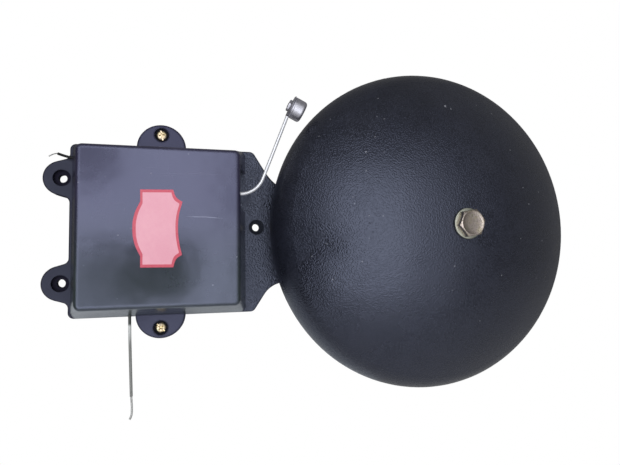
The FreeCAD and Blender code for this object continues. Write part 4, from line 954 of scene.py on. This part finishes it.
# %% Stripes
def stripes(axis, pitch, soft=0.25):
    """A value that dips in a narrow line at every pitch along one axis."""
    place = maths("FRACT", maths("DIVIDE", along(axis), pitch))
    away = maths("ABSOLUTE", maths("SUBTRACT", place, 0.5))
    return ramp(away, 0.5 - soft, 0.5, 1.0, 0.0)

# %% Thin steel sheets on edge, varnished, with a little rust
core_finish = finish("laminated_core", Metallic=0.85, Coat_Weight=0.4, Coat_Roughness=0.25)
sheets = stripes("Y", 0.0005)
tone = uneven(40.0, 300.0)
colour = mixed(tone, (0.16, 0.15, 0.15), (0.30, 0.29, 0.29))
colour = mixed(sheets, (0.05, 0.04, 0.035), colour)
rust = mottle(160.0, 5.0, 0.7)
colour = mixed(ramp(rust, 0.60, 0.72, 0.0, 0.5), colour, (0.16, 0.07, 0.03))
feed(Base_Color=colour, Roughness=between(tone, 0.34, 0.52))
relief(sheets, 0.00008)

# %% Varnished yellow tape in laps
tape_finish = finish("taped_winding", Coat_Weight=0.5, Coat_Roughness=0.2)
laps = stripes("Z", 0.006, 0.12)
tone = uneven(60.0, 260.0)
colour = mixed(tone, (0.42, 0.28, 0.06), (0.60, 0.44, 0.12))
colour = mixed(laps, (0.20, 0.12, 0.03), colour)
feed(Base_Color=colour, Roughness=between(tone, 0.35, 0.55))
relief(plus(laps, times(tone, 0.3)), 0.0002)

# %% Red fibre board, paler where its edges are rubbed
fibre_finish = finish("pressed_fibre")
weave = noise(on_object(scale=(400, 2200, 900)), 1.0, 3.0, 0.6)
colour = mixed(weave, (0.12, 0.03, 0.018), (0.30, 0.09, 0.05))
edge = use("rubbed_edges", Width=0.0004, Patches=400.0)["Mask"]
colour = mixed(edge, colour, (0.42, 0.20, 0.14))
feed(Base_Color=colour, Roughness=ramp(weave, 0.3, 0.7, 0.55, 0.75))
relief(weave, 0.00006)

# %% Brass with brown tarnish
brass_finish = finish("turned_brass", Metallic=1.0)
tone = uneven(90.0, 500.0)
colour = mixed(tone, (0.55, 0.38, 0.14), (0.78, 0.60, 0.28))
tarnish = mottle(400.0, 4.0, 0.7)
colour = mixed(ramp(tarnish, 0.52, 0.72, 0.0, 0.7), colour, (0.20, 0.12, 0.05))
feed(Base_Color=colour, Roughness=ramp(tarnish, 0.3, 0.7, 0.22, 0.5))
relief(mottle(1800.0, 2.0), 0.00003)

# %% Plain moulded materials
def moulded(name, light, dark, rough_low, rough_high, grain=900.0):
    """A plain moulded material with a soft mottle and a fine skin."""
    material = finish(name, Specular_IOR_Level=0.35)
    tone = uneven(50.0, 320.0)
    film = use("dust", Clouds=70.0, Specks=420.0)["Film"]
    colour = mixed(tone, dark, light)
    colour = laid(colour, film, 0.12, (0.40, 0.38, 0.35))
    feed(Base_Color=colour, Roughness=between(tone, rough_low, rough_high))
    relief(mottle(grain, 3.0), 0.00005)
    return material


bobbin_finish = moulded("bobbin_plastic", (0.62, 0.58, 0.46), (0.50, 0.46, 0.35), 0.45, 0.6)
rubber_finish = moulded("buffer_rubber", (0.022, 0.022, 0.022), (0.014, 0.014, 0.014), 0.7, 0.85)
black_lead_finish = moulded("black_lead_sleeve", (0.005, 0.005, 0.006), (0.003, 0.003, 0.004), 0.6, 0.75,
                            1500.0)

# %% A grey sleeve with a painted highlight higher up, and nearly black at its top end, where it enters the case
sleeve_finish = finish("grey_sleeve", Coat_Weight=0.3, Coat_Roughness=0.3)
height = along("Z")
# Painted highlight: the upper part of the sleeve is made much paler.
pale = ramp(height, -0.105, -0.084)
cloud = noise(on_object(scale=(300, 300, 90)), 1.0, 4.0, 0.6)
colour = mixed(cloud, (0.13, 0.13, 0.12), (0.24, 0.24, 0.23))
colour = mixed(pale, colour, (0.66, 0.67, 0.66))
# The top end, where the lead enters the case, is made nearly black.
ink = ramp(height, -0.0865, -0.0835)
colour = mixed(ink, colour, (0.03, 0.035, 0.03))
feed(Base_Color=colour, Roughness=ramp(cloud, 0.3, 0.7, 0.38, 0.55))
relief(cloud, 0.00008)

# %% Bare stranded wire, with slanting ridges from its twist, painted shade in the grooves between the strands, and a dull tinned shine
strand_finish = finish("tinned_strands", Metallic=0.9)
slant = plus(along("Z"), times(along("X"), 1.6))
ridge = maths("ABSOLUTE", maths("SINE", times(slant, 3600.0)))
tone = uneven(150.0, 900.0)
colour = mixed(tone, (0.50, 0.49, 0.46), (0.74, 0.74, 0.73))
# Painted shade: the grooves between the strands are darkened.
colour = mixed(ramp(ridge, 0.0, 0.45), (0.22, 0.20, 0.18), colour)
feed(Base_Color=colour, Roughness=between(tone, 0.3, 0.5))
relief(ridge, 0.0001)

# %% [markdown]
# ## Finishes on the solids
# Each solid of the model keeps its shape and takes the finish of its material. The solids that
# were modelled again above are left out, and the pieces that replace them are dressed after.

# %% Give the solids their finish
SOLIDS = (
    (casting_finish, "base_casting"), (gong_finish, "gong"), (cover_finish, "cover"),
    (core_finish, "magnet_core"), (bobbin_finish, "coil_bobbin"), (tape_finish, "coil_winding"),
    (rubber_finish, "stop_buffer"), (wire_finish, "hammer_rod"), (brass_finish, "terminal_barrels"),
    (fibre_finish, "fibre_washer", "terminal_blocks"),
    (dark_finish, "gong_post", "rear_cheek", "front_cheek", "pin_clip", "armature", "stop_bar"),
    (zinc_finish, "post_nut", "core_bolts", "stop_bar_screws", "stop_nut", "rod_nuts"),
    (bright_finish, "pivot_pin", "stop_screw", "spring_post", "terminal_screws"),
    (sleeve_finish, "coil_lead_upper", "coil_lead_lower"))


def dress(piece, *materials):
    """Gives a piece these materials and no others. Where it had none, its faces keep their numbers."""
    if piece.data.materials:
        piece.data.materials.clear()
    for material in materials:
        piece.data.materials.append(material)


for material, *names in SOLIDS:
    for name in names:
        dress(nodes[name], material)
for material, *pieces in ((zinc_finish, screw, second_screw), (worn_zinc_finish, bolt),
                          (washer_finish, washer), (hammer_finish, head, disc, nut),
                          (bright_finish, spring), (black_lead_finish, upper_lead),
                          (sleeve_finish, lower_lead), (strand_finish, upper_tip, lower_tip)):
    for piece in pieces:
        dress(piece, material)
dress(sticker, border_print, field_print)
print("finished", sum(len(row) - 1 for row in SOLIDS), "solids")

# %% [markdown]
# ## Floor, backdrop and light
# The bell hangs in a white room: the world and the floor look plain white to the camera, but gloss
# sees the dimmer walls of a room, and they light the bell only at a plain level. Large soft lamps
# in front give the paint and the plating something to reflect.

# %% White room
ROOM_LIGHT = 0.38
ROOM_IN_GLOSS = 0.18
world = bpy.data.worlds.new("white_room")
world.use_nodes = True
background = begin(world.node_tree).nodes["Background"].inputs
background["Color"].default_value = (1, 1, 1, 1)
path = add("ShaderNodeLightPath").outputs
seen = maths("MAXIMUM", path["Is Camera Ray"], path["Is Transmission Ray"])
glossy = times(path["Is Glossy Ray"], ROOM_IN_GLOSS)
other = times(maths("SUBTRACT", 1.0, path["Is Glossy Ray"]), ROOM_LIGHT)
wire(maths("MAXIMUM", seen, plus(glossy, other)), background["Strength"])
bpy.context.scene.world = world

# %% Pale floor
FLOOR_DEPTH = 1.0
FLOOR_SIZE = 9.0
GLOW_UNDER, GLOW_FAR = 0.75, 1.0
fresh()
bpy.ops.mesh.primitive_plane_add(size=FLOOR_SIZE, location=(0, 0, -FLOOR_DEPTH))
floor = bpy.context.object
floor.name = "floor"
floor_paint = finish("floor_paint", Base_Color=(0.60, 0.60, 0.60, 1), Roughness=0.9)
ends = floor_paint.node_tree.nodes
glow = add("ShaderNodeEmission", {"Color": (1, 1, 1, 1), "Strength": 1.0}).outputs[0]
seen = add("ShaderNodeLightPath").outputs["Is Camera Ray"]
away = vectors("LENGTH", {0: on_object()}, "Value")
share = times(seen, ramp(away, 0.3, 1.3, GLOW_UNDER, GLOW_FAR))
both = add("ShaderNodeMixShader", {0: share, 1: ends["Principled BSDF"].outputs[0], 2: glow})
wire(both.outputs[0], ends["Material Output"].inputs["Surface"])
dress(floor, floor_paint)

# %% Soft lamps
BELL_FRONT = (0.05, -0.05, 0.0)
BELL_BACK = (0.05, 0.0, 0.0)
DAYLIGHT = (0.94, 0.97, 1.0)


def soft_lamp(name, place, target, width, height, power, tint=(1, 1, 1)):
    """A rectangular area lamp that faces a point."""
    data = bpy.data.lights.new(name, "AREA")
    data.shape = "RECTANGLE"
    data.size = width
    data.size_y = height
    data.energy = power
    data.color = tint
    lamp = add_object(name, data)
    lamp.location = place
    lamp.rotation_euler = (Vector(target) - Vector(place)).to_track_quat("-Z", "Y").to_euler()
    lamp.visible_camera = False
    return lamp


soft_lamp("window", (-0.42, -1.30, 0.0), BELL_FRONT, 1.2, 2.1, 18.0, DAYLIGHT)
soft_lamp("curtained_window", (0.46, -1.32, 0.0), BELL_FRONT, 0.70, 2.1, 3.9, DAYLIGHT)
far_wall = soft_lamp("far_wall", (0.4, 1.7, 0.6), BELL_BACK, 1.8, 1.4, 10.0)
far_wall.visible_glossy = False

# %% [markdown]
# ## Boards for the gloss
# A camera this near shows up in the glossy cover as a soft dark patch, and without it the cover
# looks like flat paint. So round boards stand for the camera, the hand that holds it and the hood
# above, and two large ones for the unlit side of the room. A grey one stands for the sheet under
# the bell, which the foot of the cover mirrors. Only gloss sees them. The half boards let a part
# of the light through, since they only dim what lies behind them.

# %% Place the boards
BOARD_BLACK = (0.01, 0.01, 0.012, 1)
dark_board = finish("dark_board", Base_Color=BOARD_BLACK, Roughness=0.8)
half_board = finish("half_board", Base_Color=BOARD_BLACK, Roughness=0.8, Alpha=0.65)
grey_board = finish("grey_board", Base_Color=(0.55, 0.57, 0.59, 1), Roughness=0.8)
FACING_BELL = (math.radians(90), 0, 0)
FACING_RIGHT = (math.radians(90), 0, math.radians(90))
for name, place, size, turn, paint in (
        ("camera_body", (-0.099, -0.27, -0.043), (0.096, 0.092, 1), FACING_BELL, dark_board),
        ("camera_hand", (-0.150, -0.27, -0.054), (0.13, 0.100, 1), FACING_BELL, half_board),
        ("camera_hood", (-0.180, -0.28, 0.100), (0.08, 0.08, 1), FACING_BELL, half_board),
        ("dim_side", (-0.90, -0.30, 0.0), (1.1, 1.6, 1), FACING_RIGHT, dark_board),
        ("dim_corner", (-0.79, 0.50, 0.0), (1.1, 1.4, 1), FACING_BELL, half_board),
        ("grey_sheet", (-0.095, 0.014, -0.205), (0.44, 0.30, 1), FACING_BELL, grey_board)):
    fresh()
    bpy.ops.mesh.primitive_circle_add(vertices=48, radius=0.5, fill_type="NGON", location=place,
                                      rotation=turn)
    board = bpy.context.object
    board.name = name
    board.scale = size
    dress(board, paint)
    for ray in ("camera", "diffuse", "shadow", "transmission", "volume_scatter"):
        setattr(board, "visible_" + ray, False)
